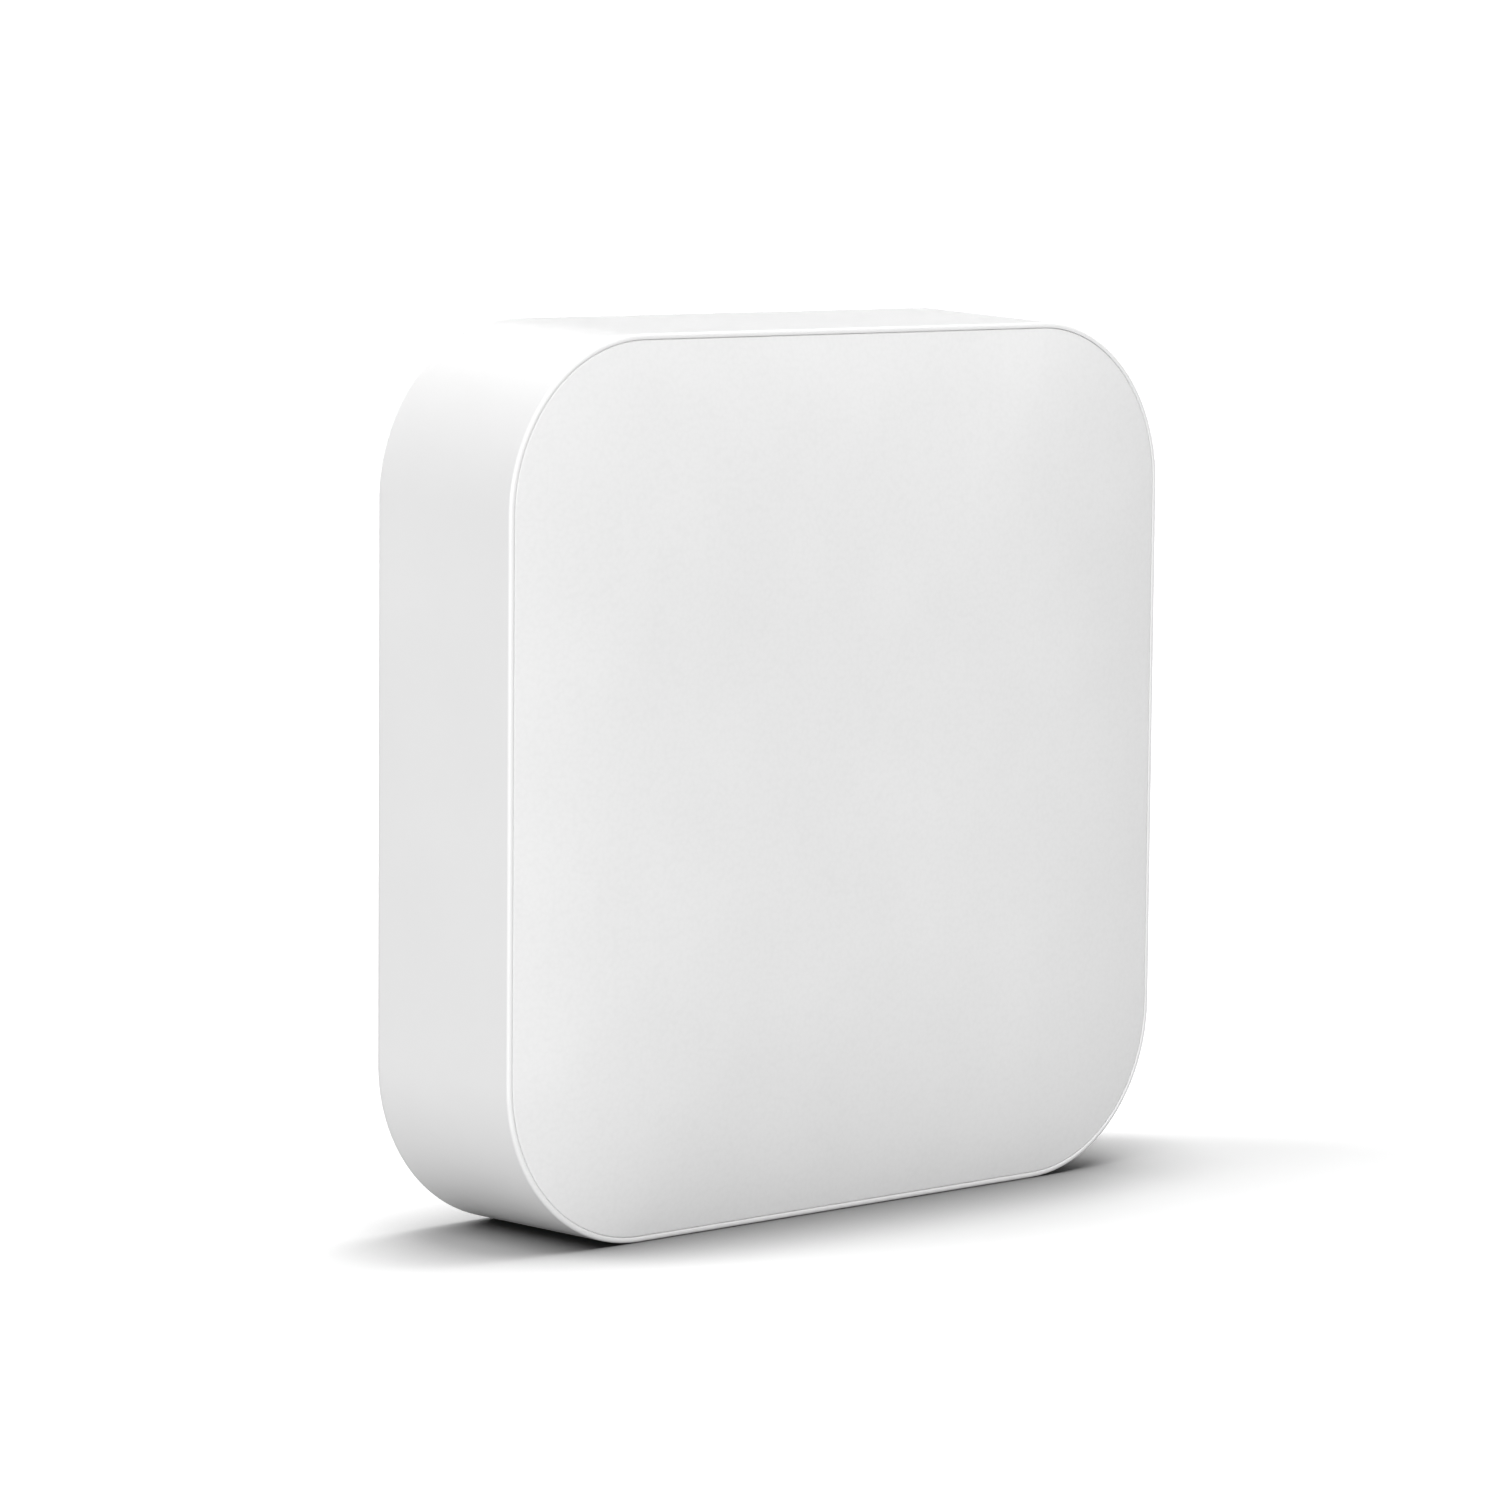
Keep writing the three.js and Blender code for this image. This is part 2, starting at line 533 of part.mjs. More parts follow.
function switchBody({ y, z }) {
  const block = box(SWITCH_X, [y - 3.5, SEAT_Y], halves(z, 6.4));
  const floorX = PLUNGER_X[0] - TRAVEL - GAP;
  return block.subtract(rodX(y, z, PLUNGER_RADIUS + GAP, [floorX, SWITCH_X[1] + 1], 16));
}

// ---- Board components ----
// A sheet metal can over a radio, open towards the board.
function radioShield(x, z, sizeX, sizeZ) {
  const [height, sheet] = [2.4, 0.4];
  const room = chip(x, z, sizeX - 2 * sheet, sizeZ - 2 * sheet, height - sheet + 1, SEAT_Y + 1);
  return chip(x, z, sizeX, sizeZ, height).subtract(room);
}

const PROCESSOR = { x: -6, z: 66, size: 15, height: 1.4 };
const PAD_HEIGHT = 0.9;
const PAD_SEAT_Y = SEAT_Y - PROCESSOR.height - GAP;

const onProcessor = (height, seat) =>
  chip(PROCESSOR.x, PROCESSOR.z, PROCESSOR.size, PROCESSOR.size, height, seat);

function heatSink() {
  const { x, z } = PROCESSOR;
  const seat = PAD_SEAT_Y - PAD_HEIGHT - GAP;
  const [size, base, finHeight, finWidth] = [40, 1.5, 5, 1.2];
  const fins = Array.from({ length: 9 }, (_, k) => {
    const finX = x + (k - 4) * ((size - finWidth) / 8);
    return chip(finX, z, finWidth, size, finHeight + 0.5, seat - base + 0.5);
  });
  return joined([chip(x, z, size, size, base, seat), ...fins]);
}

const CAPACITOR = { radius: 3.15, height: 7.7, base: 6.6, baseHeight: 1 };

function capacitor(x, z) {
  const { radius, height, base, baseHeight } = CAPACITOR;
  const can = rodY(x, z, radius, [SEAT_Y - height, SEAT_Y - 0.7 * baseHeight], 20);
  return can.add(chip(x, z, base, base, baseHeight));
}

const LED = { x: 0, z: 101, height: 1.2 };

// A clear rod with a collar, from the light to the inside of the front cover.
function lightPipe() {
  const nearest = crownY((LED.z + 2 - MIDDLE_Z) / MIDDLE_Z) + FRONT_THICKNESS + GAP;
  const span = [nearest, SEAT_Y - LED.height - GAP];
  const [radius, collarRadius] = [1.7, 2.8];
  const collar = rodY(LED.x, LED.z, collarRadius, [span[1] - 3, span[1] - 1.8], 20);
  return rodY(LED.x, LED.z, radius, span, 20).add(collar);
}

// ---- Aerials on the inside of the left wall, and their coaxial leads ----
const AERIAL_THICKNESS = 0.8;
const AERIAL_INNER_X = -FRONT_SIZE / 2 + WALL + GAP;
const AERIAL_X = [AERIAL_INNER_X, AERIAL_INNER_X + AERIAL_THICKNESS];
const COAX_RADIUS = 0.6;
const CONNECTOR_HEIGHT = 1.6;

// A stamped strip with a slot that makes its folded arm.
function aerial(z) {
  const strip = roundedRectangle(0.5, z, 9, 32, 1);
  strip.holes.push(roundedRectangle(1.2, z + 2, 1.6, 22, 0.5, THREE.Path));
  return plateX(strip, AERIAL_X, 3);
}

const connector = (x, z) => rodY(x, z, 1.3, [SEAT_Y - CONNECTOR_HEIGHT, SEAT_Y], 14);

// The lead leaves the strip square to it, bows once and comes down on its connector.
function coaxialLead(aerialZ, x, z) {
  const startX = AERIAL_X[1] + GAP;
  const endY = SEAT_Y - CONNECTOR_HEIGHT - GAP;
  const route = new THREE.CatmullRomCurve3([
    new THREE.Vector3(startX, -2, aerialZ),
    new THREE.Vector3(startX + 3, -2.4, aerialZ + (z - aerialZ) * 0.12),
    new THREE.Vector3((startX + x) / 2, -3, (aerialZ + z) / 2),
    new THREE.Vector3(x - 1, endY - 5, z),
    new THREE.Vector3(x, endY - 2.4, z),
    new THREE.Vector3(x, endY, z),
  ]);
  const section = new THREE.Shape().absarc(0, 0, COAX_RADIUS, 0, Math.PI * 2);
  const steps = Math.ceil(route.getLength() / (3 * COAX_RADIUS));
  return solidOf(new THREE.ExtrudeGeometry(section, { extrudePath: route, steps, curveSegments: 4 }));
}

// ---- Assembly ----
const hub = new THREE.Group();
hub.name = "smart_home_hub";

function addPart(name, solid, finish) {
  const mesh = new THREE.Mesh(geometryOf(solid), new THREE.MeshStandardMaterial(finish));
  mesh.name = name;
  hub.add(mesh);
}

function addCopies(name, places, make, finish) {
  places.forEach((place, k) => addPart(`${name}_${k + 1}`, make(place), finish));
}

addPart("housing", housing(), WHITE_SATIN);
addPart("front_cover", frontCover(), WHITE_GRAIN);
addPart("rear_cover", rearCover(), WHITE_SATIN);
addPart("port_panel", portPanel(), GREY_PLASTIC);
addPart("rating_label", ratingLabel(), LABEL_FILM);
addCopies("rear_foot", FOOT_PLACES, rearFoot, GREY_RUBBER);
addCopies("cover_screw", BOSS_PLACES, coverScrew, STEEL);
addCopies("board_screw", POST_PLACES, boardScrew, STEEL);
addPart("main_board", mainBoard(), BOARD_GREEN);

addPart("ethernet_shell", ethernetShell(), STEEL);
addPart("ethernet_insert", ethernetInsert(), BLACK_PLASTIC);
addPart("ethernet_contacts", ethernetContacts(), GOLD);
addPart("usb_shell", usbShell(), STEEL);
addPart("usb_tongue", usbTongue(), BLACK_PLASTIC);
addPart("dc_jack", dcJack(), BLACK_PLASTIC);
addPart("dc_pin", dcPin(), STEEL);

for (const [name, button] of [["pairing", PAIRING], ["reset", RESET]]) {
  addPart(`${name}_button`, pushButton(button), GREY_PLASTIC);
  addPart(`${name}_plunger`, switchPlunger(button), BLACK_PLASTIC);
  addPart(`${name}_switch`, switchBody(button), BLACK_PLASTIC);
}

addPart("processor", onProcessor(PROCESSOR.height, SEAT_Y), BLACK_PLASTIC);
addPart("thermal_pad", onProcessor(PAD_HEIGHT, PAD_SEAT_Y), PAD_BLUE);
addPart("heat_sink", heatSink(), ALUMINIUM);
addPart("memory_chip", chip(-6, 34, 11, 9, 1.1), BLACK_PLASTIC);
addPart("wifi_shield", radioShield(-30, 99, 24, 18), STEEL);
addPart("zigbee_shield", radioShield(-34, 32, 17, 16), STEEL);
addPart("ethernet_transformer", chip(36, 70, 7, 14, 4), BLACK_PLASTIC);
addPart("power_inductor", chip(36, 38, 8, 8, 4), BLACK_PLASTIC);
addPart("capacitor_1", capacitor(37, 52), ALUMINIUM);
addPart("capacitor_2", capacitor(25, 34), ALUMINIUM);
addPart("crystal", chip(12, 40, 5, 3.2, 1.2), STEEL);
addPart("status_led", chip(LED.x, LED.z, 3.2, 2.8, LED.height), CLEAR);
addPart("light_pipe", lightPipe(), CLEAR);

for (const [name, aerialZ, x, z] of [["upper", 82, -49, 97], ["lower", 44, -48, 32]]) {
  addPart(`antenna_${name}`, aerial(aerialZ), STEEL);
  addPart(`coax_connector_${name}`, connector(x, z), GOLD);
  addPart(`coax_${name}`, coaxialLead(aerialZ, x, z), BLACK_PLASTIC);
}

export default hub;
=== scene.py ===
"""The looks of the smart home hub: fine meshes, procedural finishes, a white floor and soft studio light.

Shapes are drawn in millimetres and become metres when their mesh is made. The crowned front faces -Y, the
sockets are on the +X side, and the hub stands on Z = 0. The outer sizes of the pieces come from the frame.
"""

import json
import math

import bmesh
import bpy
from mathutils import Matrix, Vector

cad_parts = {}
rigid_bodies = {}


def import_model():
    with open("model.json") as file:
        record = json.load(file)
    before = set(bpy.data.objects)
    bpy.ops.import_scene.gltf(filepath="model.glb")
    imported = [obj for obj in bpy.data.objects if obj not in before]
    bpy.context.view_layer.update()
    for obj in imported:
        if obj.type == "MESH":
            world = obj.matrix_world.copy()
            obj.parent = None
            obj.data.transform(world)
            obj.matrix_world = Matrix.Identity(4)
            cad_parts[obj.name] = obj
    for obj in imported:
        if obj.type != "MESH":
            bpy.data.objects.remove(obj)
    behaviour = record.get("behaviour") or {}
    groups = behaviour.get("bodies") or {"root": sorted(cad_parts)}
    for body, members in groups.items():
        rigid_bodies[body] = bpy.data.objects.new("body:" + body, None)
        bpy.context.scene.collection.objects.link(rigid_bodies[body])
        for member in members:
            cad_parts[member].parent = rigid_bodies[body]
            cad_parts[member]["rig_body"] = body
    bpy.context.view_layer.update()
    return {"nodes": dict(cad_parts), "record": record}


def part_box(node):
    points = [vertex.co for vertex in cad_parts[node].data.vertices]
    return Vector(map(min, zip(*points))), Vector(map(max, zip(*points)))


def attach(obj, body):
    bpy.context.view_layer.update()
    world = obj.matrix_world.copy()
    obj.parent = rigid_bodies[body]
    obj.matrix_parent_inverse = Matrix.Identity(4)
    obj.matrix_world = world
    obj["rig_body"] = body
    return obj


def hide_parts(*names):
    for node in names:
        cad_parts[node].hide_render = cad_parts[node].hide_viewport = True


MM = 0.001
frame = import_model()


# ---- Sizes that the frame gives ----
def box_mm(node):
    low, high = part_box(node)
    return low / MM, high / MM


def middle(low, high):
    return (low + high) / 2


HOUSING_LOW, HOUSING_HIGH = box_mm("housing")
FRONT_LOW, FRONT_HIGH = box_mm("front_cover")
REAR_LOW, REAR_HIGH = box_mm("rear_cover")
PANEL_LOW, PANEL_HIGH = box_mm("port_panel")
RIM_Y, BACK_Y = HOUSING_LOW.y, HOUSING_HIGH.y
CROWN = RIM_Y - FRONT_LOW.y

# ---- Sizes of the shells ----
CORNER_RADIUS = 24.1
LIP = 0.8  # width of the rim round the front cover
WALL = 2.2
LEDGE = 1.4  # how far the front cover's seat stands in from the wall
CAD_GAP = 0.3
SEAM = 0.02  # the fine joint between the front cover and the rim
RIM_EDGE = 0.5  # roundings of the housing's edges
BACK_EDGE = 1.5
FRONT_SIZE = FRONT_HIGH.x - FRONT_LOW.x + 2 * (LIP + CAD_GAP)
DRAFT = (HOUSING_HIGH.x - HOUSING_LOW.x - FRONT_SIZE) / (BACK_Y - BACK_EDGE - RIM_Y)
MIDDLE_Z = FRONT_SIZE / 2
COVER_DEPTH = 2.4  # how far the front cover sinks behind the rim
LEDGE_THICKNESS = 1.5
LEDGE_Y = RIM_Y + COVER_DEPTH
LEDGE_BACK_Y = LEDGE_Y + LEDGE_THICKNESS
REAR_LOW_PLATE_Y = REAR_HIGH.y - WALL
COVER_Z = middle(REAR_LOW.z, REAR_HIGH.z)
PILOT_RADIUS = 1.4  # of the holes for screw shanks
BUTTON_FLANGE = 1.0  # how far a button's flange stands out from its cap


def size_at(y):
    """Width and height of the housing, which opens out towards the back."""
    return FRONT_SIZE + DRAFT * (y - RIM_Y)


# ---- Outlines: closed loops of flat points, anticlockwise, that can grow outwards ----
def arc(centre, radius, start, end, steps):
    angles = [start + (end - start) * k / steps for k in range(steps + 1)]
    return [(centre[0] + radius * math.cos(a), centre[1] + radius * math.sin(a)) for a in angles]


def rounded_rectangle(centre, size, radius, steps=8):
    def outline(grow=0.0):
        half_u, half_v = size[0] / 2 - radius, size[1] / 2 - radius
        points = []
        for quarter, (u, v) in enumerate([(1, -1), (1, 1), (-1, 1), (-1, -1)]):
            start = (quarter - 1) * math.pi / 2
            corner = (centre[0] + u * half_u, centre[1] + v * half_v)
            points += arc(corner, radius + grow, start, start + math.pi / 2, steps)
        return points

    return outline


def circle(centre, radius, steps=48):
    def outline(grow=0.0):
        return arc(centre, radius + grow, 0, 2 * math.pi, steps)[:-1]

    return outline


def upright_slot(centre, width, height):
    return rounded_rectangle(centre, (width, height), width / 2 - 0.001)


def keyhole(centre, entry, slot, rise):
    """A round entry with a narrow round-ended slot above it."""

    def outline(grow=0.0):
        big, small = entry + grow, slot + grow
        meet = math.asin(small / big)
        entry_arc = arc(centre, big, math.pi / 2 + meet, math.pi * 2.5 - meet, 32)
        slot_arc = arc((centre[0], centre[1] + rise), small, 0, math.pi, 16)
        return entry_arc + slot_arc

    return outline


# ---- Levels: the (height, grow) steps of an outline along its plate's thickness ----
def fillet(height, radius, side, steps=5):
    """From a straight wall to the flat face of a convex edge. The face is at height, on the side given."""
    angles = [math.pi / 2 * k / steps for k in range(steps + 1)]
    return [(height - side * radius * (1 - math.sin(a)), -radius * (1 - math.cos(a))) for a in angles]


def plate_levels(low, high, low_edge, high_edge):
    return fillet(low, low_edge, -1)[::-1] + fillet(high, high_edge, 1)


def hole_levels(bottom, face, edge, side, reach=3.0, steps=4):
    """A cutter that leaves a rounded mouth at the face. It comes from the given side and ends at bottom."""
    skim = 0.01
    angles = [math.pi / 2 * k / steps for k in range(steps + 1)]
    mouth = [(face - side * (skim + edge * (1 - math.sin(a))), edge * (1 - math.cos(a))) for a in angles]
    return [(bottom, 0.0), *mouth, (face + side * reach, edge)]


# ---- Placing flat drawings ----
def on_back(u, v, height):
    return (u, height, v)


def on_side(u, v, height):
    return (height, u, v)


# ---- Shapes: lists of points and faces ----
def loft(rings, looped=False):
    """A skin of quads through rings of points. A loft that isn't looped gets a cap at each end."""
    count = len(rings[0])
    points = [point for ring in rings for point in ring]
    faces = []
    for r in range(len(rings) if looped else len(rings) - 1):
        a, b = r * count, (r + 1) % len(rings) * count
        faces += [(a + k, a + (k + 1) % count, b + (k + 1) % count, b + k) for k in range(count)]
    if not looped:
        faces.append(tuple(reversed(range(count))))
        faces.append(tuple(range(len(points) - count, len(points))))
    return points, faces


def prism(outline, levels, place):
    return loft([[place(u, v, height) for u, v in outline(grow)] for height, grow in levels])


def lathe(profile, centre, place, steps=48):
    """A turned body. The profile's points are (height, radius), from end to end."""
    spin = circle(centre, 0.0, steps)
    return loft([[place(u, v, height) for u, v in spin(radius)] for height, radius in profile])


def block(low, high, edge=0.0):
    """A box with rounded upright edges and rounded ends along X."""
    centre = (middle(low[1], high[1]), middle(low[2], high[2]))
    size = (high[1] - low[1], high[2] - low[2])
    outline = rounded_rectangle(centre, size, max(edge, 0.01), 3)
    levels = plate_levels(low[0], high[0], edge, edge) if edge else [(low[0], 0), (high[0], 0)]
    return prism(outline, levels, on_side)


def merged(shapes):
    points, faces = [], []
    for shape_points, shape_faces in shapes:
        faces += [tuple(k + len(points) for k in face) for face in shape_faces]
        points += shape_points
    return points, faces


# ---- Meshes and objects ----
def new_object(name, shape):
    points, faces = shape
    mesh = bpy.data.meshes.new(name)
    mesh.from_pydata([Vector(point) * MM for point in points], [], faces)
    body = bmesh.new()
    body.from_mesh(mesh)
    bmesh.ops.remove_doubles(body, verts=body.verts, dist=1e-7)
    bmesh.ops.recalc_face_normals(body, faces=body.faces)
    body.to_mesh(mesh)
    body.free()
    piece = bpy.data.objects.new(name, mesh)
    bpy.context.scene.collection.objects.link(piece)
    return piece


def combine(piece, operation, *shapes):
    """Joins shapes to the piece or cuts them from it. Shapes in one call may overlap each other."""
    for k, shape in enumerate(shapes):
        modifier = piece.modifiers.new("combine", "BOOLEAN")
        modifier.operation = operation
        modifier.solver = "EXACT"
        modifier.object = new_object(f"tool_{k}", shape)
    graph = bpy.context.evaluated_depsgraph_get()
    made = bpy.data.meshes.new_from_object(piece.evaluated_get(graph))
    for tool in [modifier.object for modifier in piece.modifiers]:
        bpy.data.objects.remove(tool)
    piece.modifiers.clear()
    piece.data = made
    return piece


def cut(piece, *shapes):
    return combine(piece, "DIFFERENCE", *shapes)


def join(piece, *shapes):
    return combine(piece, "UNION", *shapes)


def keep_flats_flat(piece, smooth_angle=38):
    """Smooth roundings next to flat faces, with sharp edges kept sharp."""
    piece.data.shade_smooth()
    piece.data.set_sharp_from_angle(angle=math.radians(smooth_angle))
    weighted = piece.modifiers.new("weighted normals", "WEIGHTED_NORMAL")
    weighted.keep_sharp = True


def stand_for(node, piece, finish):
    """The piece takes the CAD node's place: its body and a finish."""
    keep_flats_flat(piece)
    piece.data.materials.clear()
    piece.data.materials.append(finish)
    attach(piece, frame["nodes"][node]["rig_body"])
    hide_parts(node)
    return piece


# ---- Finishes ----
def add_node(tree, kind, inputs=None, **settings):
    """A node with its settings and inputs. An input is a value, or the output that feeds it."""
    node = tree.nodes.new(kind)
    for name, value in settings.items():
        setattr(node, name, value)
    for name, value in (inputs or {}).items():
        if isinstance(value, bpy.types.NodeSocket):
            tree.links.new(value, node.inputs[name])
        else:
            node.inputs[name].default_value = value
    return node


def new_finish(name, roughness, metallic=0.0, **shader_values):
    """A material with its Principled shader, its node tree and the coordinates that its patterns use."""
    finish = bpy.data.materials.new(name)
    finish.use_nodes = True
    tree = finish.node_tree
    shader = tree.nodes["Principled BSDF"]
    shader.inputs["Roughness"].default_value = roughness
    shader.inputs["Metallic"].default_value = metallic
    for socket, value in shader_values.items():
        shader.inputs[socket.replace("_", " ")].default_value = value
    coordinates = add_node(tree, "ShaderNodeTexCoord").outputs["Object"]
    return finish, shader, tree, coordinates


def noise(tree, coordinates, grain, detail=2.0, **settings):
    """Noise whose features are about grain millimetres across."""
    inputs = {"Vector": coordinates, "Scale": 1 / (grain * MM), "Detail": detail}
    return add_node(tree, "ShaderNodeTexNoise", inputs, **settings).outputs["Fac"]


def spread(tree, value, low, high, value_low=0.3, value_high=0.7):
    """The value's range from value_low to value_high, stretched to low and high."""
    inputs = {"Value": value, "From Min": value_low, "From Max": value_high, "To Min": low, "To Max": high}
    return add_node(tree, "ShaderNodeMapRange", inputs).outputs["Result"]


def blend_colours(tree, value, dark, light, start=0.3, end=0.7):
    ramp = add_node(tree, "ShaderNodeValToRGB", {"Fac": value})
    for element, position, colour in zip(ramp.color_ramp.elements, (start, end), (dark, light)):
        element.position = position
        element.color = (*colour, 1.0)
    return ramp.outputs["Color"]


def grey(value):
    return (value, value, value)


def add_bump(tree, shader, height, depth, below=None):
    """Relief of the given depth in millimetres, on top of the bump below it."""
    inputs = {"Height": height, "Distance": depth * MM, "Strength": 1.0}
    if below:
        inputs["Normal"] = below
    normal = add_node(tree, "ShaderNodeBump", inputs).outputs["Normal"]
    tree.links.new(normal, shader.inputs["Normal"])
    return normal


def plastic(name, dark, light, roughness, texture, depth, variation=0.05):
    """Moulded plastic with slow tone changes, a fine spark-eroded texture and uneven gloss."""
    finish, shader, tree, coordinates = new_finish(name, roughness)
    tone = blend_colours(tree, noise(tree, coordinates, 24, 3.0), dark, light)
    tree.links.new(tone, shader.inputs["Base Color"])
    gloss = noise(tree, coordinates, texture * 6, 3.0)
    uneven = spread(tree, gloss, roughness - variation, roughness + variation)
    tree.links.new(uneven, shader.inputs["Roughness"])
    add_bump(tree, shader, noise(tree, coordinates, texture, 3.0), depth)
    return finish


def white_grain():
    """The front cover's skin: fine leathery pebbles with soft creases between them, darkened by painted
    shade.
    """
    finish, shader, tree, coordinates = new_finish("white_grain", 0.5)
    inputs = {"Vector": coordinates, "Scale": 1 / (0.62 * MM), "Smoothness": 0.6, "Randomness": 1.0}
    pebbles = add_node(tree, "ShaderNodeTexVoronoi", inputs, feature="SMOOTH_F1").outputs["Distance"]
    slow = noise(tree, coordinates, 18, 2.0)
    tone = blend_colours(tree, slow, grey(0.84), grey(0.86))
    # painted shade: the colour darkens a little in the creases between the pebbles
    painted_crease_shade = blend_colours(tree, pebbles, grey(1.0), grey(0.975), 0.3, 0.85)
    inputs = {"Fac": 1.0, "Color1": tone, "Color2": painted_crease_shade}
    skin = add_node(tree, "ShaderNodeMixRGB", inputs, blend_type="MULTIPLY").outputs["Color"]
    tree.links.new(skin, shader.inputs["Base Color"])
    gloss = noise(tree, coordinates, 1.1, 3.0)
    tree.links.new(spread(tree, gloss, 0.36, 0.46), shader.inputs["Roughness"])
    waves = add_bump(tree, shader, noise(tree, coordinates, 2.6, 2.0), 0.02)
    pebbled = add_bump(tree, shader, pebbles, -0.012, waves)
    add_bump(tree, shader, noise(tree, coordinates, 0.28, 2.0), 0.006, pebbled)
    return finish


def metal(name, dark, light, roughness, brushed=(1.0, 1.0, 1.0), grain=0.4):
    """Metal with fine scratches. brushed stretches them along the axes with small values."""
    finish, shader, tree, coordinates = new_finish(name, roughness, 1.0)
    stretch = add_node(tree, "ShaderNodeMapping", {"Vector": coordinates, "Scale": brushed})
    scratches = noise(tree, stretch.outputs["Vector"], grain, 4.0)
    tone = blend_colours(tree, noise(tree, coordinates, 5, 3.0), dark, light)
    tree.links.new(tone, shader.inputs["Base Color"])
    tree.links.new(spread(tree, scratches, roughness - 0.1, roughness + 0.12), shader.inputs["Roughness"])
    add_bump(tree, shader, scratches, 0.004)
    return finish


def rubber():
    """Soft pads: matt, slightly dusty, with a fine even grain."""
    finish, shader, tree, coordinates = new_finish("grey_rubber", 0.8, Sheen_Weight=0.15, Sheen_Roughness=0.5)
    dust = noise(tree, coordinates, 3, 4.0)
    tree.links.new(blend_colours(tree, dust, grey(0.23), grey(0.3)), shader.inputs["Base Color"])
    tree.links.new(spread(tree, dust, 0.72, 0.9), shader.inputs["Roughness"])
    add_bump(tree, shader, noise(tree, coordinates, 0.25, 2.0), 0.012)
    return finish


def board_mask():
    """Solder mask over copper: tracks show as lighter lines, and small plated holes as gold dots."""
    finish, shader, tree, coordinates = new_finish("board_green", 0.35)
    turned = add_node(tree, "ShaderNodeMapping", {"Vector": coordinates, "Rotation": (math.pi / 2, 0, 0)})
    inputs = {
        "Vector": turned.outputs["Vector"],
        "Color1": (0.006, 0.07, 0.03, 1),
        "Color2": (0.008, 0.085, 0.036, 1),
        "Mortar": (0.02, 0.17, 0.07, 1),
        "Scale": 1 / (9 * MM),
        "Mortar Size": 0.02,
        "Brick Width": 0.9,
        "Row Height": 0.22,
    }
    tracks = add_node(tree, "ShaderNodeTexBrick", inputs)
    inputs = {"Vector": coordinates, "Scale": 1 / (3.2 * MM), "Randomness": 0.8}
    holes = add_node(tree, "ShaderNodeTexVoronoi", inputs, voronoi_dimensions="3D").outputs["Distance"]
    plated = spread(tree, holes, 1.0, 0.0, 0.09, 0.12)
    inputs = {"Fac": plated, "Color1": tracks.outputs["Color"], "Color2": (0.55, 0.36, 0.1, 1)}
    tree.links.new(add_node(tree, "ShaderNodeMixRGB", inputs).outputs["Color"], shader.inputs["Base Color"])
    add_bump(tree, shader, tracks.outputs["Fac"], 0.03)
    return finish


def clear_plastic():
    finish, shader, tree, coordinates = new_finish("clear", 0.12, IOR=1.49)
    tone = blend_colours(tree, noise(tree, coordinates, 4, 2.0), (0.78, 0.84, 0.88), (0.88, 0.92, 0.94))
    tree.links.new(tone, shader.inputs["Base Color"])
    add_bump(tree, shader, noise(tree, coordinates, 0.8, 2.0), 0.004)
    return finish


WHITE = plastic("white_satin", grey(0.83), grey(0.85), 0.38, 0.3, 0.003)
GRAIN = white_grain()
GREY = plastic("grey_plastic", grey(0.6), grey(0.63), 0.45, 0.25, 0.008)
BLACK = plastic("black_plastic", grey(0.011), grey(0.016), 0.42, 0.22, 0.01, 0.08)
LABEL = plastic("label_film", grey(0.64), grey(0.67), 0.5, 0.5, 0.002)
INK = plastic("label_ink", grey(0.28), grey(0.33), 0.5, 0.3, 0.002)
PAD = plastic("pad_blue", (0.16, 0.24, 0.36), (0.2, 0.29, 0.42), 0.85, 0.5, 0.02)
RUBBER = rubber()
STEEL = metal("steel", grey(0.5), grey(0.58), 0.32, (0.08, 1.0, 1.0))
TURNED = metal("turned_steel", grey(0.48), grey(0.56), 0.28, grain=0.15)
ALUMINIUM = metal("aluminium", grey(0.6), grey(0.68), 0.38, (1.0, 1.0, 0.05))
GOLD = metal("gold", (0.75, 0.47, 0.13), (0.83, 0.55, 0.18), 0.24, grain=0.2)
MASK = board_mask()
CLEAR = clear_plastic()


# ---- Housing ----
CORNER_STEPS = 24


def square_ring(y, inset, scale=1.0, size_for=size_at):
    """The hub's outline at one depth, moved in by inset and scaled about the hub's middle."""
    size = size_for(y)
    outline = rounded_rectangle((0, size / 2), (size, size), CORNER_RADIUS, CORNER_STEPS)
    return [(x * scale, y, MIDDLE_Z + (z - MIDDLE_Z) * scale) for x, z in outline(-inset)]


def corner_boss(node):
    """A round boss for a cover screw, and the rib that ties it to the corner behind it."""
    radius, rib_width, rib_length = 4.0, 2.0, 6.0
    low, high = box_mm(node)
    x, z = middle(low.x, high.x), middle(low.z, high.z)
    span = [(LEDGE_Y + 0.5, 0.0), (REAR_LOW_PLATE_Y - CAD_GAP, 0.0)]
    right, up = math.copysign(math.sqrt(0.5), x), math.copysign(math.sqrt(0.5), z - MIDDLE_Z)

    def rib(grow):
        across, along = rib_width / 2, rib_length
        ends = [(0, -across), (along, -across), (along, across), (0, across)]
        return [(x + a * right - b * up, z + a * up + b * right) for a, b in ends]

    return prism(circle((x, z), radius), span, on_back), prism(rib, span, on_back), (x, z)


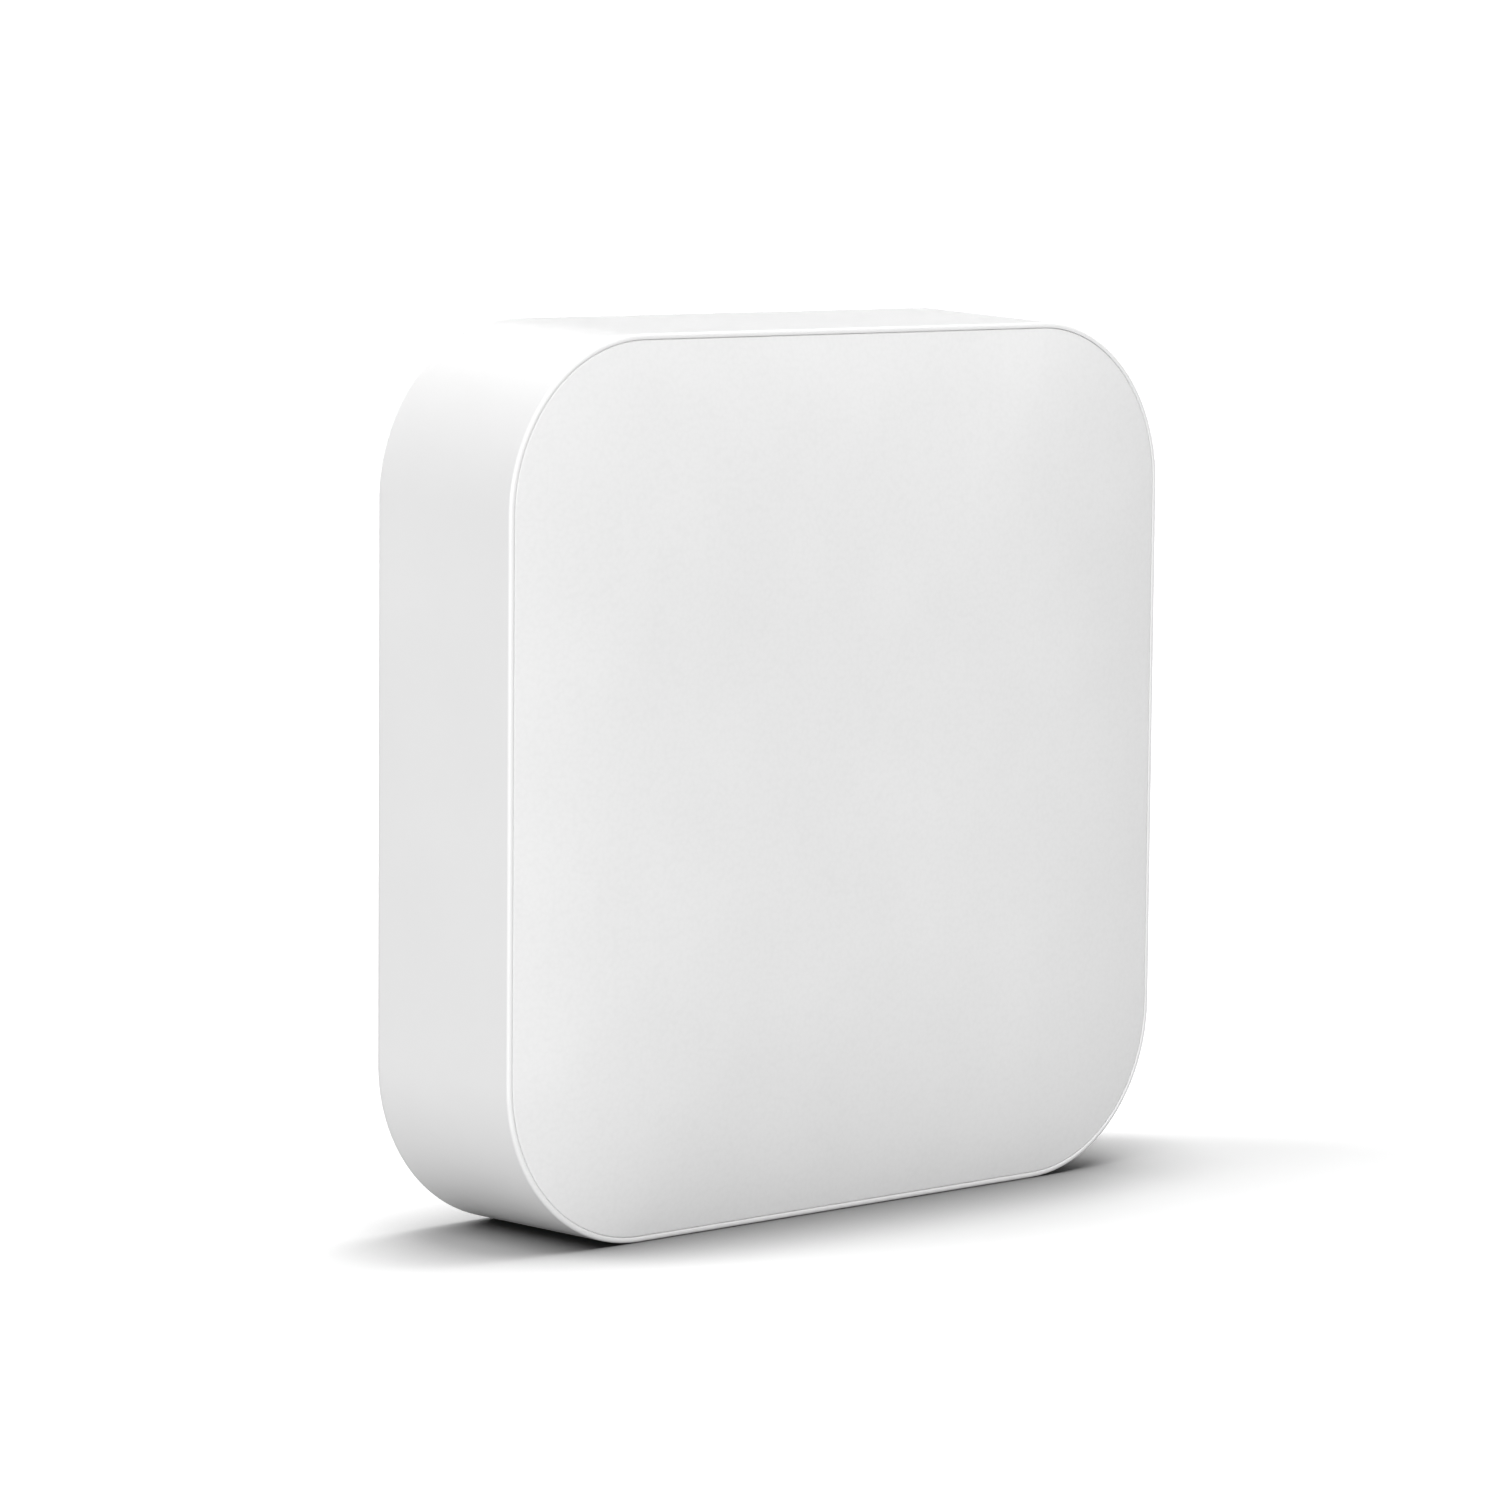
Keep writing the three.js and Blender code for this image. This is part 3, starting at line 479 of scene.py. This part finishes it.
def housing():
    soft = 0.15
    rim = fillet(RIM_Y, RIM_EDGE, -1)[::-1]
    back = fillet(BACK_Y, BACK_EDGE, 1, 8)
    profile = [(y, -grow) for y, grow in [*rim, *back]]
    profile += [(y, WALL + grow) for y, grow in fillet(BACK_Y, soft, 1, 3)[::-1]]
    profile += [
        (LEDGE_BACK_Y, WALL),
        (LEDGE_BACK_Y, WALL + LEDGE),
        (LEDGE_Y, WALL + LEDGE),
        (LEDGE_Y, LIP),
    ]
    profile += [(y, LIP + grow) for y, grow in fillet(RIM_Y, soft, -1, 3)]
    piece = new_object("housing_finished", loft([square_ring(y, inset) for y, inset in profile], looped=True))
    bosses = [corner_boss(f"cover_screw_{k}") for k in range(1, 5)]
    join(piece, *[shape for boss, rib, _ in bosses for shape in (boss, rib)])
    pilot_depth = 10
    pilot = [(REAR_LOW_PLATE_Y - pilot_depth, 0), (REAR_LOW_PLATE_Y + 1, 0)]
    cut(piece, *[prism(circle(place, PILOT_RADIUS, 24), pilot, on_back) for _, _, place in bosses])
    cut(piece, window_cutter())
    stand_for("housing", piece, WHITE)


def window_cutter():
    """The opening round the port panel. Its rounded mouth follows the sloping wall."""
    depth, mouth = 4.0, 0.35
    levels = hole_levels(-depth, 0.0, mouth, 1)
    return prism(panel_outline(CAD_GAP), levels, lambda y, z, height: (size_at(y) / 2 + height, y, z))


# ---- Front cover ----
CROWN_POWER = 4  # flat in the middle and steepest at the edge
FRONT_THICKNESS = 2.2


def crown_y(scale):
    return RIM_Y - CROWN * (1 - scale**CROWN_POWER)


def snap_hook(turns, along):
    """A hook behind the housing's ledge. turns is the side it is on, in quarter turns from +X."""
    half_width, thickness, reach, barb_height, stem_length = 4, 1.2, 0.9, 1, 2.8
    inner = MIDDLE_Z - WALL - LEDGE - CAD_GAP
    barb_low = LEDGE_BACK_Y + CAD_GAP
    barb_high = barb_low + barb_height
    z_low, z_high = along - half_width, along + half_width
    stem = block((inner - thickness, LEDGE_BACK_Y - stem_length, z_low), (inner, barb_high, z_high))
    barb = block((inner - thickness, barb_low, z_low), (inner + reach, barb_high, z_high))
    turn = Matrix.Rotation(-turns * math.pi / 2, 3, "Y")
    raise_up = Vector((0, 0, MIDDLE_Z))
    return [([turn @ Vector(point) + raise_up for point in points], faces) for points, faces in (stem, barb)]


def front_cover():
    """The crowned cover: rings that shrink towards the middle, and a soft edge at the joint with the rim."""
    edge, inset, seat = 0.3, LIP + SEAM, LEDGE_Y - CAD_GAP
    shoulder = [(y, inset - grow, 1.0) for y, grow in fillet(RIM_Y, edge, -1)]
    ring_count = 44
    scales = [1 - k / ring_count for k in range(1, ring_count)] + [0.012]
    outside = [(crown_y(scale), inset + edge, scale) for scale in scales]
    inside = [(crown_y(scale) + FRONT_THICKNESS, inset + edge, scale) for scale in reversed(scales[3:])]
    profile = [*inside, (seat, inset, 0.95), (seat, inset, 1.0), *shoulder, *outside]
    rings = [square_ring(y, inset, scale, lambda _: FRONT_SIZE) for y, inset, scale in profile]
    piece = new_object("front_cover_finished", loft(rings))
    hook_place = 24
    places = [(turns, side * hook_place) for turns in (1, 2, 3) for side in (-1, 1)]
    hooks = [shape for turns, along in places for shape in snap_hook(turns, along)]
    join(piece, *hooks)
    stand_for("front_cover", piece, GRAIN)


# ---- Rear cover, its label and its feet ----
VENT_WIDTH, VENT_HEIGHT, VENT_PITCH = 2, 20, 6
VENT_ROW = 29  # from the cover's middle to the middle of a row of vents
KEYHOLE_PLACE = 38  # from the cover's middle to each keyhole
KEYHOLE_ENTRY, KEYHOLE_SLOT, KEYHOLE_RISE = 4.2, 2.2, 9
POST_RADIUS = 3
LABEL_CORNER = 2.0
LABEL_RECESS = 0.6
FOOT_SEAT_DEPTH = 0.8
SCREW_SEAT_DEPTH = 1.5


def rear_cover():
    """The back plate with vents, keyholes, screw sinks, foot seats and the label's recess."""
    face = REAR_HIGH.y
    size = REAR_HIGH.x - REAR_LOW.x
    outline = rounded_rectangle((0, COVER_Z), (size, size), CORNER_RADIUS - WALL - CAD_GAP, 20)
    plate = prism(outline, plate_levels(REAR_LOW_PLATE_Y, face, 0.1, 0.45), on_back)
    piece = new_object("rear_cover_finished", plate)
    posts = [screw_place(f"board_screw_{k}") for k in range(1, 5)]
    post_span = [(REAR_LOW.y, 0), (REAR_LOW_PLATE_Y + 1, 0)]
    join(piece, *[prism(circle(place, POST_RADIUS, 32), post_span, on_back) for place in posts])
    pilot = [(REAR_LOW.y - 1, 0), (REAR_LOW_PLATE_Y + 0.9, 0)]
    cut(piece, *[prism(circle(place, PILOT_RADIUS, 24), pilot, on_back) for place in posts])
    through = REAR_LOW_PLATE_Y - 1
    opening = hole_levels(through, face, 0.35, 1)
    rows, columns = (-1, 1), range(-4, 5)
    vent_places = [(VENT_PITCH * column, COVER_Z + VENT_ROW * row) for row in rows for column in columns]
    vents = [prism(upright_slot(place, VENT_WIDTH, VENT_HEIGHT), opening, on_back) for place in vent_places]
    keyholes = []
    for side in (-1, 1):
        outline = keyhole((side * KEYHOLE_PLACE, COVER_Z), KEYHOLE_ENTRY, KEYHOLE_SLOT, KEYHOLE_RISE)
        keyholes.append(prism(outline, opening, on_back))
    screws = [screw_sink(f"cover_screw_{k}", face) for k in range(1, 5)]
    feet = [seat_cutter(f"rear_foot_{k}", face) for k in range(1, 5)]
    low, high = box_mm("rating_label")
    label_size = (high.x - low.x + 2 * CAD_GAP, high.z - low.z + 2 * CAD_GAP)
    recess = hole_levels(face - LABEL_RECESS, face, 0.2, 1)
    label = prism(rounded_rectangle((0, COVER_Z), label_size, LABEL_CORNER + CAD_GAP), recess, on_back)
    cut(piece, merged([*vents, *keyholes, *screws, *feet, label]))
    stand_for("rear_cover", piece, WHITE)


def screw_place(node):
    low, high = box_mm(node)
    return middle(low.x, high.x), middle(low.z, high.z)


def screw_sink(node, face):
    """The hole for a screw's shank, the seat for its head and the rounded mouth above it, in one cutter."""
    low, high = box_mm(node)
    head = (high.x - low.x) / 2 + CAD_GAP
    seat = face - SCREW_SEAT_DEPTH
    levels = [(REAR_LOW_PLATE_Y - 1, PILOT_RADIUS), (seat, PILOT_RADIUS), (seat, head)]
    levels += [(height, head + grow) for height, grow in hole_levels(seat, face, 0.25, 1)[1:]]
    return lathe(levels, screw_place(node), on_back)


def seat_cutter(node, face):
    low, high = box_mm(node)
    fine_gap = 0.15
    outline = circle(screw_place(node), (high.x - low.x) / 2 + fine_gap)
    return prism(outline, hole_levels(face - FOOT_SEAT_DEPTH, face, 0.2, 1), on_back)


def rating_label():
    """A blank film label with a thin printed border."""
    low, high = box_mm("rating_label")
    border_outside, border_inside = 1.5, 1.8  # from the label's edge
    outline = rounded_rectangle((0, COVER_Z), (high.x - low.x, high.z - low.z), LABEL_CORNER, 10)
    levels = plate_levels(low.y, high.y, 0.02, 0.06)
    levels += [(high.y, -border_outside), (high.y, -border_inside)]
    piece = new_object("rating_label_finished", prism(outline, levels, on_back))
    stand_for("rating_label", piece, LABEL)
    piece.data.materials.append(INK)
    border = (len(levels) - 2) * len(outline())
    for face in piece.data.polygons[border : border + len(outline())]:
        face.material_index = 1


def rear_foot(node):
    """A soft pad with a rounded shoulder and a shallow dish in its face."""
    low, high = box_mm(node)
    radius, shoulder, dish = (high.x - low.x) / 2, 0.45, 0.12
    profile = [(low.y, radius - 0.1), (low.y + 0.1, radius)]
    profile += [(height, radius + grow) for height, grow in fillet(high.y, shoulder, 1)]
    profile += [(high.y, radius - 1.0), (high.y - dish * 0.7, radius - 1.35), (high.y - dish, radius - 1.7)]
    profile += [(high.y - dish, 0.3)]
    piece = new_object(f"{node}_finished", lathe(profile, screw_place(node), on_back, 64))
    stand_for(node, piece, RUBBER)


# ---- Screws ----
def cover_screw(node):
    """A pan head with a tapered cross recess, on a threaded shank."""
    low, high = box_mm(node)
    place = screw_place(node)
    head, shank, head_height, pitch = (high.x - low.x) / 2, 1.1, 1.1, 0.8
    seat = high.y - head_height
    profile = [(low.y, 0.35), (low.y + 0.7, shank * 0.7)]
    turns = int((seat - low.y - 1.6) / pitch)
    for turn in range(turns):
        start = low.y + 0.9 + turn * pitch
        profile += [(start, shank * 0.78), (start + pitch * 0.5, shank), (start + pitch * 0.75, shank * 0.8)]
    profile += [(seat - 0.1, shank * 0.8), (seat, shank), (seat, head - 0.1)]
    dome = [math.pi / 2 * k / 7 for k in range(7)]
    flat, skirt = 1.6, 0.25
    for a in dome:
        rise = (head_height - skirt) * math.sin(a) ** 0.8
        profile.append((seat + skirt + rise, flat + (head - flat) * math.cos(a)))
    profile += [(high.y, 1.5), (high.y, 0.2)]
    piece = new_object(f"{node}_finished", lathe(profile, place, on_back, 40))
    cut(piece, cross_recess(place, high.y))
    stand_for(node, piece, TURNED)


def cross_recess(place, face):
    """A cross-shaped cutter whose arms narrow towards their bottom."""
    arm, half_width, depth = 1.3, 0.28, 0.75

    def cross(grow):
        long, short = arm + grow, half_width + grow * 0.3
        points = []
        turned = [(long, -short), (long, short), (short, short)]
        for _ in range(4):
            points += turned
            turned = [(-v, u) for u, v in turned]
        return [(place[0] + u, place[1] + v) for u, v in points]

    return prism(cross, [(face - depth, -0.55), (face + 0.05, 0.0), (face + 1, 0.0)], on_back)


# ---- Port panel ----
def panel_outline(grow_by=0.0):
    """Where the panel fills the housing's window."""
    flange_margin = (1.2 + CAD_GAP, 1.5 + CAD_GAP)
    centre = (middle(PANEL_LOW.y, PANEL_HIGH.y), middle(PANEL_LOW.z, PANEL_HIGH.z))
    flange = PANEL_HIGH - PANEL_LOW
    size = (flange.y - 2 * flange_margin[0], flange.z - 2 * flange_margin[1])
    base = rounded_rectangle(centre, size, 3.7, 12)
    return lambda grow=0.0: base(grow + grow_by)


def flange_outline():
    centre = (middle(PANEL_LOW.y, PANEL_HIGH.y), middle(PANEL_LOW.z, PANEL_HIGH.z))
    size = (PANEL_HIGH.y - PANEL_LOW.y, PANEL_HIGH.z - PANEL_LOW.z)
    return rounded_rectangle(centre, size, 5.2, 8)


def side_rectangle(node, grow, radius):
    low, high = box_mm(node)
    centre = (middle(low.y, high.y), middle(low.z, high.z))
    return rounded_rectangle(centre, (high.y - low.y + 2 * grow, high.z - low.z + 2 * grow), radius)


def side_place(node):
    low, high = box_mm(node)
    return middle(low.y, high.y), middle(low.z, high.z)


def button_radius(node):
    """The cap's radius: the node is as wide as the flange behind the cap."""
    low, high = box_mm(node)
    return (high.z - low.z) / 2 - BUTTON_FLANGE


def port_panel():
    face = PANEL_HIGH.x
    flange_thickness = 1.6
    flange_x = PANEL_LOW.x + flange_thickness
    flange = prism(flange_outline(), plate_levels(PANEL_LOW.x, flange_x, 0.1, 0.1), on_side)
    piece = new_object("port_panel_finished", flange)
    join(piece, prism(panel_outline(), [(flange_x - 0.5, 0), *fillet(face, 0.3, 1)], on_side))
    through = PANEL_LOW.x - 1
    mouths = [
        prism(side_rectangle("ethernet_shell", 0.12, 0.8), hole_levels(through, face, 0.3, 1), on_side),
        prism(side_rectangle("usb_shell", 0.12, 0.9), hole_levels(through, face, 0.3, 1), on_side),
        prism(circle(side_place("dc_jack"), 3.7, 64), hole_levels(through, face, 0.4, 1), on_side),
    ]
    for button in ("pairing_button", "reset_button"):
        outline = circle(side_place(button), button_radius(button) + 0.15, 64)
        mouths.append(prism(outline, hole_levels(through, face, 0.25, 1), on_side))
    cut(piece, merged(mouths))
    low, high = box_mm("dc_jack")
    room = side_rectangle("dc_jack", CAD_GAP, 0.2)
    cut(piece, prism(room, [(through, 0), (high.x + CAD_GAP, 0)], on_side))
    stand_for("port_panel", piece, GREY)


# ---- Sockets ----
def folded_can(node, sheet, corner):
    """A sheet metal box with rounded folds, open towards +X."""
    low, high = box_mm(node)
    outline = side_rectangle(node, 0, corner)
    lip = sheet * 0.4
    levels = fillet(low.x, 0.2, -1, 3)[::-1] + fillet(high.x, lip, 1, 3)
    levels += [(x, -sheet - grow) for x, grow in reversed(fillet(high.x, lip, 1, 3))]
    levels += [(low.x + sheet, -sheet)]
    return new_object(f"{node}_finished", prism(outline, levels, on_side))


def ethernet_shell():
    stand_for("ethernet_shell", folded_can("ethernet_shell", 0.5, 0.6), STEEL)


def ethernet_insert():
    """The black liner: a room for the plug, and a narrower notch for its latch in two steps."""
    low, high = box_mm("ethernet_insert")
    piece = new_object("ethernet_insert_finished", block(low, high, 0.25))
    z = middle(low.z, high.z)
    back = low.x + 1.8

    def room(x, y, width, edge):
        outline = rounded_rectangle((middle(*y), z), (y[1] - y[0], width), 0.25, 4)
        return prism(outline, hole_levels(x, high.x, edge, 1), on_side)

    cut(
        piece,
        room(back, (low.y + 0.8, low.y + 8.8), 11.9, 0.35),
        room(back + 3, (low.y + 8.6, low.y + 9.8), 6.2, 0.2),
        room(back + 3, (low.y + 9.6, low.y + 10.4), 3.4, 0.2),
    )
    stand_for("ethernet_insert", piece, BLACK)


def strip(path, thickness, width, z):
    """A flat spring: a path in X and Y with a rectangular section, thick across the path and wide along Z."""
    rings = []
    for k, (x, y) in enumerate(path):
        before, after = path[max(k - 1, 0)], path[min(k + 1, len(path) - 1)]
        length = math.hypot(after[0] - before[0], after[1] - before[1])
        across = (-(after[1] - before[1]) / length, (after[0] - before[0]) / length)
        corners = [(-1, -1), (1, -1), (1, 1), (-1, 1)]
        step = (across[0] * thickness / 2, across[1] * thickness / 2)
        rings.append([(x + a * step[0], y + a * step[1], z + b * width / 2) for a, b in corners])
    return loft(rings)


def ethernet_contacts():
    """Eight gold fingers that leave one comb, slope to the mouth and turn under at their tips."""
    low, high = box_mm("ethernet_contacts")
    z_middle = middle(low.z, high.z)
    pitch, count, width, thickness = 1.02, 8, 0.42, 0.26
    top, bottom = high.y - 0.3, low.y + 0.25
    bend = [(0.0, 0.0), (0.35, 0.02), (0.7, 0.14), (1.0, 0.42)]
    tip = [(high.x - 1.5 + 1.4 * x, bottom + 0.35 * y) for x, y in bend]
    root = [(low.x + 0.3, top), (low.x + 0.9, top), (low.x + 1.6, top - 0.12)]
    path = [*root, (high.x - 2.2, bottom + 0.14), *tip]
    comb = block((low.x, top - 0.2, z_middle - 4.1), (low.x + 0.4, high.y, z_middle + 4.1), 0.05)
    piece = new_object("ethernet_contacts_finished", comb)
    middles = [z_middle + (k - (count - 1) / 2) * pitch for k in range(count)]
    join(piece, *[strip(path, thickness, width, z) for z in middles])
    stand_for("ethernet_contacts", piece, GOLD)


def usb_shell():
    stand_for("usb_shell", folded_can("usb_shell", 0.4, 0.9), STEEL)


def usb_tongue():
    """The socket's tongue, with four flat contacts on the side that faces the wider gap."""
    low, high = box_mm("usb_tongue")
    z = middle(low.z, high.z)
    back = block((low.x, low.y, low.z), (low.x + 1.8, high.y, high.z), 0.15)
    y = (low.y + 2.3, low.y + 4.1)
    tongue = block((low.x + 1.6, y[0], z - 5.6), (high.x, y[1], z + 5.6), 0.3)
    piece = new_object("usb_tongue_finished", back)
    join(piece, tongue)
    stand_for("usb_tongue", piece, BLACK)
    contacts = [
        block((low.x + 3, y[0] - 0.12, z + place - 0.5), (high.x - 0.7, y[0] + 0.12, z + place + 0.5), 0.1)
        for place in (-3.5, -1, 1, 3.5)
    ]
    plated = new_object("usb_contacts", merged(contacts))
    keep_flats_flat(plated)
    plated.data.materials.append(GOLD)
    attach(plated, "hub")


def dc_jack():
    """The power inlet: a black block with a round bore and a softened mouth."""
    low, high = box_mm("dc_jack")
    piece = new_object("dc_jack_finished", block(low, high, 0.3))
    place = side_place("dc_jack")
    cut(piece, prism(circle(place, 3.2, 64), hole_levels(low.x + 3, high.x, 0.3, 1), on_side))
    stand_for("dc_jack", piece, BLACK)


def dc_pin():
    low, high = box_mm("dc_pin")
    radius, tip = (high.z - low.z) / 2, 0.7
    angles = [math.pi / 2 * k / 6 for k in range(7)]
    profile = [(low.x, radius), (low.x + 0.5, radius)]
    profile += [(high.x - tip * (1 - math.sin(a)), radius * (0.3 + 0.7 * math.cos(a))) for a in angles]
    piece = new_object("dc_pin_finished", lathe(profile, side_place("dc_pin"), on_side, 32))
    stand_for("dc_pin", piece, TURNED)


# ---- Buttons ----
def push_button(node, dish, edge):
    """A button cap with a rounded shoulder and a dished face, on the flange that keeps it in the panel."""
    low, high = box_mm(node)
    radius = button_radius(node)
    flange, thickness, edge_break = radius + BUTTON_FLANGE, 1.3, 0.1
    profile = [(low.x, flange - edge_break), (low.x + edge_break, flange)]
    profile += [(low.x + thickness - edge_break, flange), (low.x + thickness, radius)]
    profile += [(height, radius + grow) for height, grow in fillet(high.x, edge, 1, 6)]
    flat = radius - edge
    steps = 8
    for k in range(1, steps):
        share = 1 - k / steps
        profile.append((high.x - dish * (1 - share**2), flat * share))
    profile.append((high.x - dish, flat * 0.04))
    piece = new_object(f"{node}_finished", lathe(profile, side_place(node), on_side, 64))
    stand_for(node, piece, GREY)


# ---- Pieces inside the hub that keep their CAD shape ----
INNER_FINISHES = {
    "board_green": MASK,
    "black_plastic": BLACK,
    "steel": STEEL,
    "gold": GOLD,
    "pad_blue": PAD,
    "aluminium": ALUMINIUM,
    "clear": CLEAR,
    "grey_plastic": GREY,
}


def finish_inner_pieces():
    """Gives each CAD node that still shows the finish of its material slot."""
    slot_of = {part["node"]: part["material_slot"] for part in frame["record"]["subparts"]}
    for name, node in frame["nodes"].items():
        if node.hide_render:
            continue
        node.data.materials.clear()
        node.data.materials.append(INNER_FINISHES[slot_of[name]])


# ---- Stage, light and camera ----
AIR_STRENGTH = 0.03  # light from the surround, as the hub feels it
CONTACT_SHADOW = 24  # how far from the hub the floor's painted contact shadow reaches


def floor_and_air():
    """A large floor with a painted contact shadow near the hub. It and the surround look brighter than the
    hub feels them.
    """
    bpy.ops.mesh.primitive_grid_add(x_subdivisions=8, y_subdivisions=8, size=40, location=(0, 0, -0.02 * MM))
    floor = bpy.context.object
    floor.name = "floor"
    finish, shader, tree, _ = new_finish("floor_white", 0.9)
    shader.inputs["Specular IOR Level"].default_value = 0.0
    path = add_node(tree, "ShaderNodeLightPath")
    tone = blend_colours(tree, path.outputs["Is Camera Ray"], grey(0.1), grey(0.3))
    # painted shadow: the floor's colour darkens where the hub hides it from the room
    openness = add_node(tree, "ShaderNodeAmbientOcclusion", {"Distance": CONTACT_SHADOW * MM})
    shade = blend_colours(tree, openness.outputs["AO"], grey(0.6), grey(1), 0.5, 0.95)
    shaded = add_node(tree, "ShaderNodeVectorMath", {0: tone, 1: shade}, operation="MULTIPLY")
    tree.links.new(shaded.outputs["Vector"], shader.inputs["Base Color"])
    floor.data.materials.append(finish)

    world = bpy.data.worlds.new("studio_air")
    bpy.context.scene.world = world
    world.use_nodes = True
    tree = world.node_tree
    seen = add_node(tree, "ShaderNodeBackground", {"Color": (1, 1, 1, 1), "Strength": 1.1})
    felt = tree.nodes["Background"]
    felt.inputs["Color"].default_value = (1, 1, 1, 1)
    felt.inputs["Strength"].default_value = AIR_STRENGTH
    path = add_node(tree, "ShaderNodeLightPath")
    mix = add_node(tree, "ShaderNodeMixShader", {"Fac": path.outputs["Is Camera Ray"]})
    tree.links.new(felt.outputs["Background"], mix.inputs[1])
    tree.links.new(seen.outputs["Background"], mix.inputs[2])
    tree.links.new(mix.outputs["Shader"], tree.nodes["World Output"].inputs["Surface"])
    return floor


def lit_group(name, floor, state):
    """What a light falls on: the floor alone (INCLUDE), or all but the floor (EXCLUDE)."""
    group = bpy.data.collections.new(name)
    group.objects.link(floor)
    group.collection_objects[0].light_linking.link_state = state
    return group


def soft_sun(name, receivers, azimuth, elevation, spread, strength):
    """Even light from far off. Azimuth 0 is in front and 90 on the socket side."""
    a, e = math.radians(azimuth), math.radians(elevation)
    away = Vector((math.sin(a) * math.cos(e), -math.cos(a) * math.cos(e), math.sin(e)))
    light = bpy.data.lights.new(name, "SUN")
    light.energy = strength * math.pi
    light.angle = math.radians(spread)
    lamp = bpy.data.objects.new(name, light)
    lamp.rotation_mode = "QUATERNION"
    lamp.rotation_quaternion = away.to_track_quat("Z", "Y")
    bpy.context.scene.collection.objects.link(lamp)
    lamp.light_linking.receiver_collection = receivers


def studio_light(floor):
    """The hub and the floor are lit apart: the floor stays white and takes a soft cast shadow, deepened by a
    painted one.
    """
    hub_only = lit_group("hub_only", floor, "EXCLUDE")
    soft_sun("key_light", hub_only, -45, 5, 24, 0.57)
    soft_sun("left_light", hub_only, -80, 10, 30, 0.41)
    soft_sun("front_light", hub_only, 0, 30, 30, 0.26)
    soft_sun("right_light", hub_only, 40, 20, 30, 0.1)
    soft_sun("top_light", hub_only, 0, 90, 60, 0.3)
    soft_sun("right_top_light", hub_only, 100, 55, 40, 0.3)
    soft_sun("rear_top_light", hub_only, 135, 60, 50, 0.4)
    soft_sun("back_light", hub_only, 170, 10, 40, 0.5)
    soft_sun("socket_light", hub_only, 100, 15, 40, 0.2)

    floor_only = lit_group("floor_only", floor, "INCLUDE")
    soft_sun("floor_top_light", floor_only, 0, 90, 60, 1.9)
    soft_sun("floor_right_light", floor_only, 90, 60, 40, 1.2)
    soft_sun("floor_rear_light", floor_only, 135, 15, 30, 0.7)
    soft_sun("floor_left_light", floor_only, -120, 45, 40, 2.0)


def camera():
    """The viewpoint: left of the hub and a little above it, seen through a long lens."""
    yaw, pitch, roll = (math.radians(angle) for angle in (42.77, 6.28, 0.495))
    distance, aim_right, aim_up = (share * FRONT_SIZE * MM for share in (6.87, 0.0339, -0.01525))
    focal_length_in_images = 4.0133
    forward = Vector((math.sin(yaw) * math.cos(pitch), math.cos(yaw) * math.cos(pitch), -math.sin(pitch)))
    level_right = Vector((math.cos(yaw), -math.sin(yaw), 0))
    level_up = level_right.cross(forward)
    right = math.cos(roll) * level_right + math.sin(roll) * level_up
    up = math.cos(roll) * level_up - math.sin(roll) * level_right
    lens = bpy.data.cameras.new("camera")
    lens.sensor_width = 36
    lens.lens = focal_length_in_images * lens.sensor_width
    lens.clip_start, lens.clip_end = 0.01, 100
    eye = bpy.data.objects.new("camera", lens)
    hub_middle = Vector((0, middle(RIM_Y, BACK_Y), MIDDLE_Z)) * MM
    eye.location = hub_middle - forward * distance - right * aim_right - up * aim_up
    eye.rotation_mode = "QUATERNION"
    eye.rotation_quaternion = Matrix((right, up, -forward)).transposed().to_quaternion()
    bpy.context.scene.collection.objects.link(eye)
    bpy.context.scene.camera = eye


# ---- Assembly ----
camera()
housing()
front_cover()
rear_cover()
rating_label()
for number in range(1, 5):
    rear_foot(f"rear_foot_{number}")
    cover_screw(f"cover_screw_{number}")
port_panel()
ethernet_shell()
ethernet_insert()
ethernet_contacts()
usb_shell()
usb_tongue()
dc_jack()
dc_pin()
push_button("pairing_button", 0.35, 0.6)
push_button("reset_button", 0.1, 0.25)
finish_inner_pieces()
studio_light(floor_and_air())
bpy.context.scene.view_settings.view_transform = "Standard"
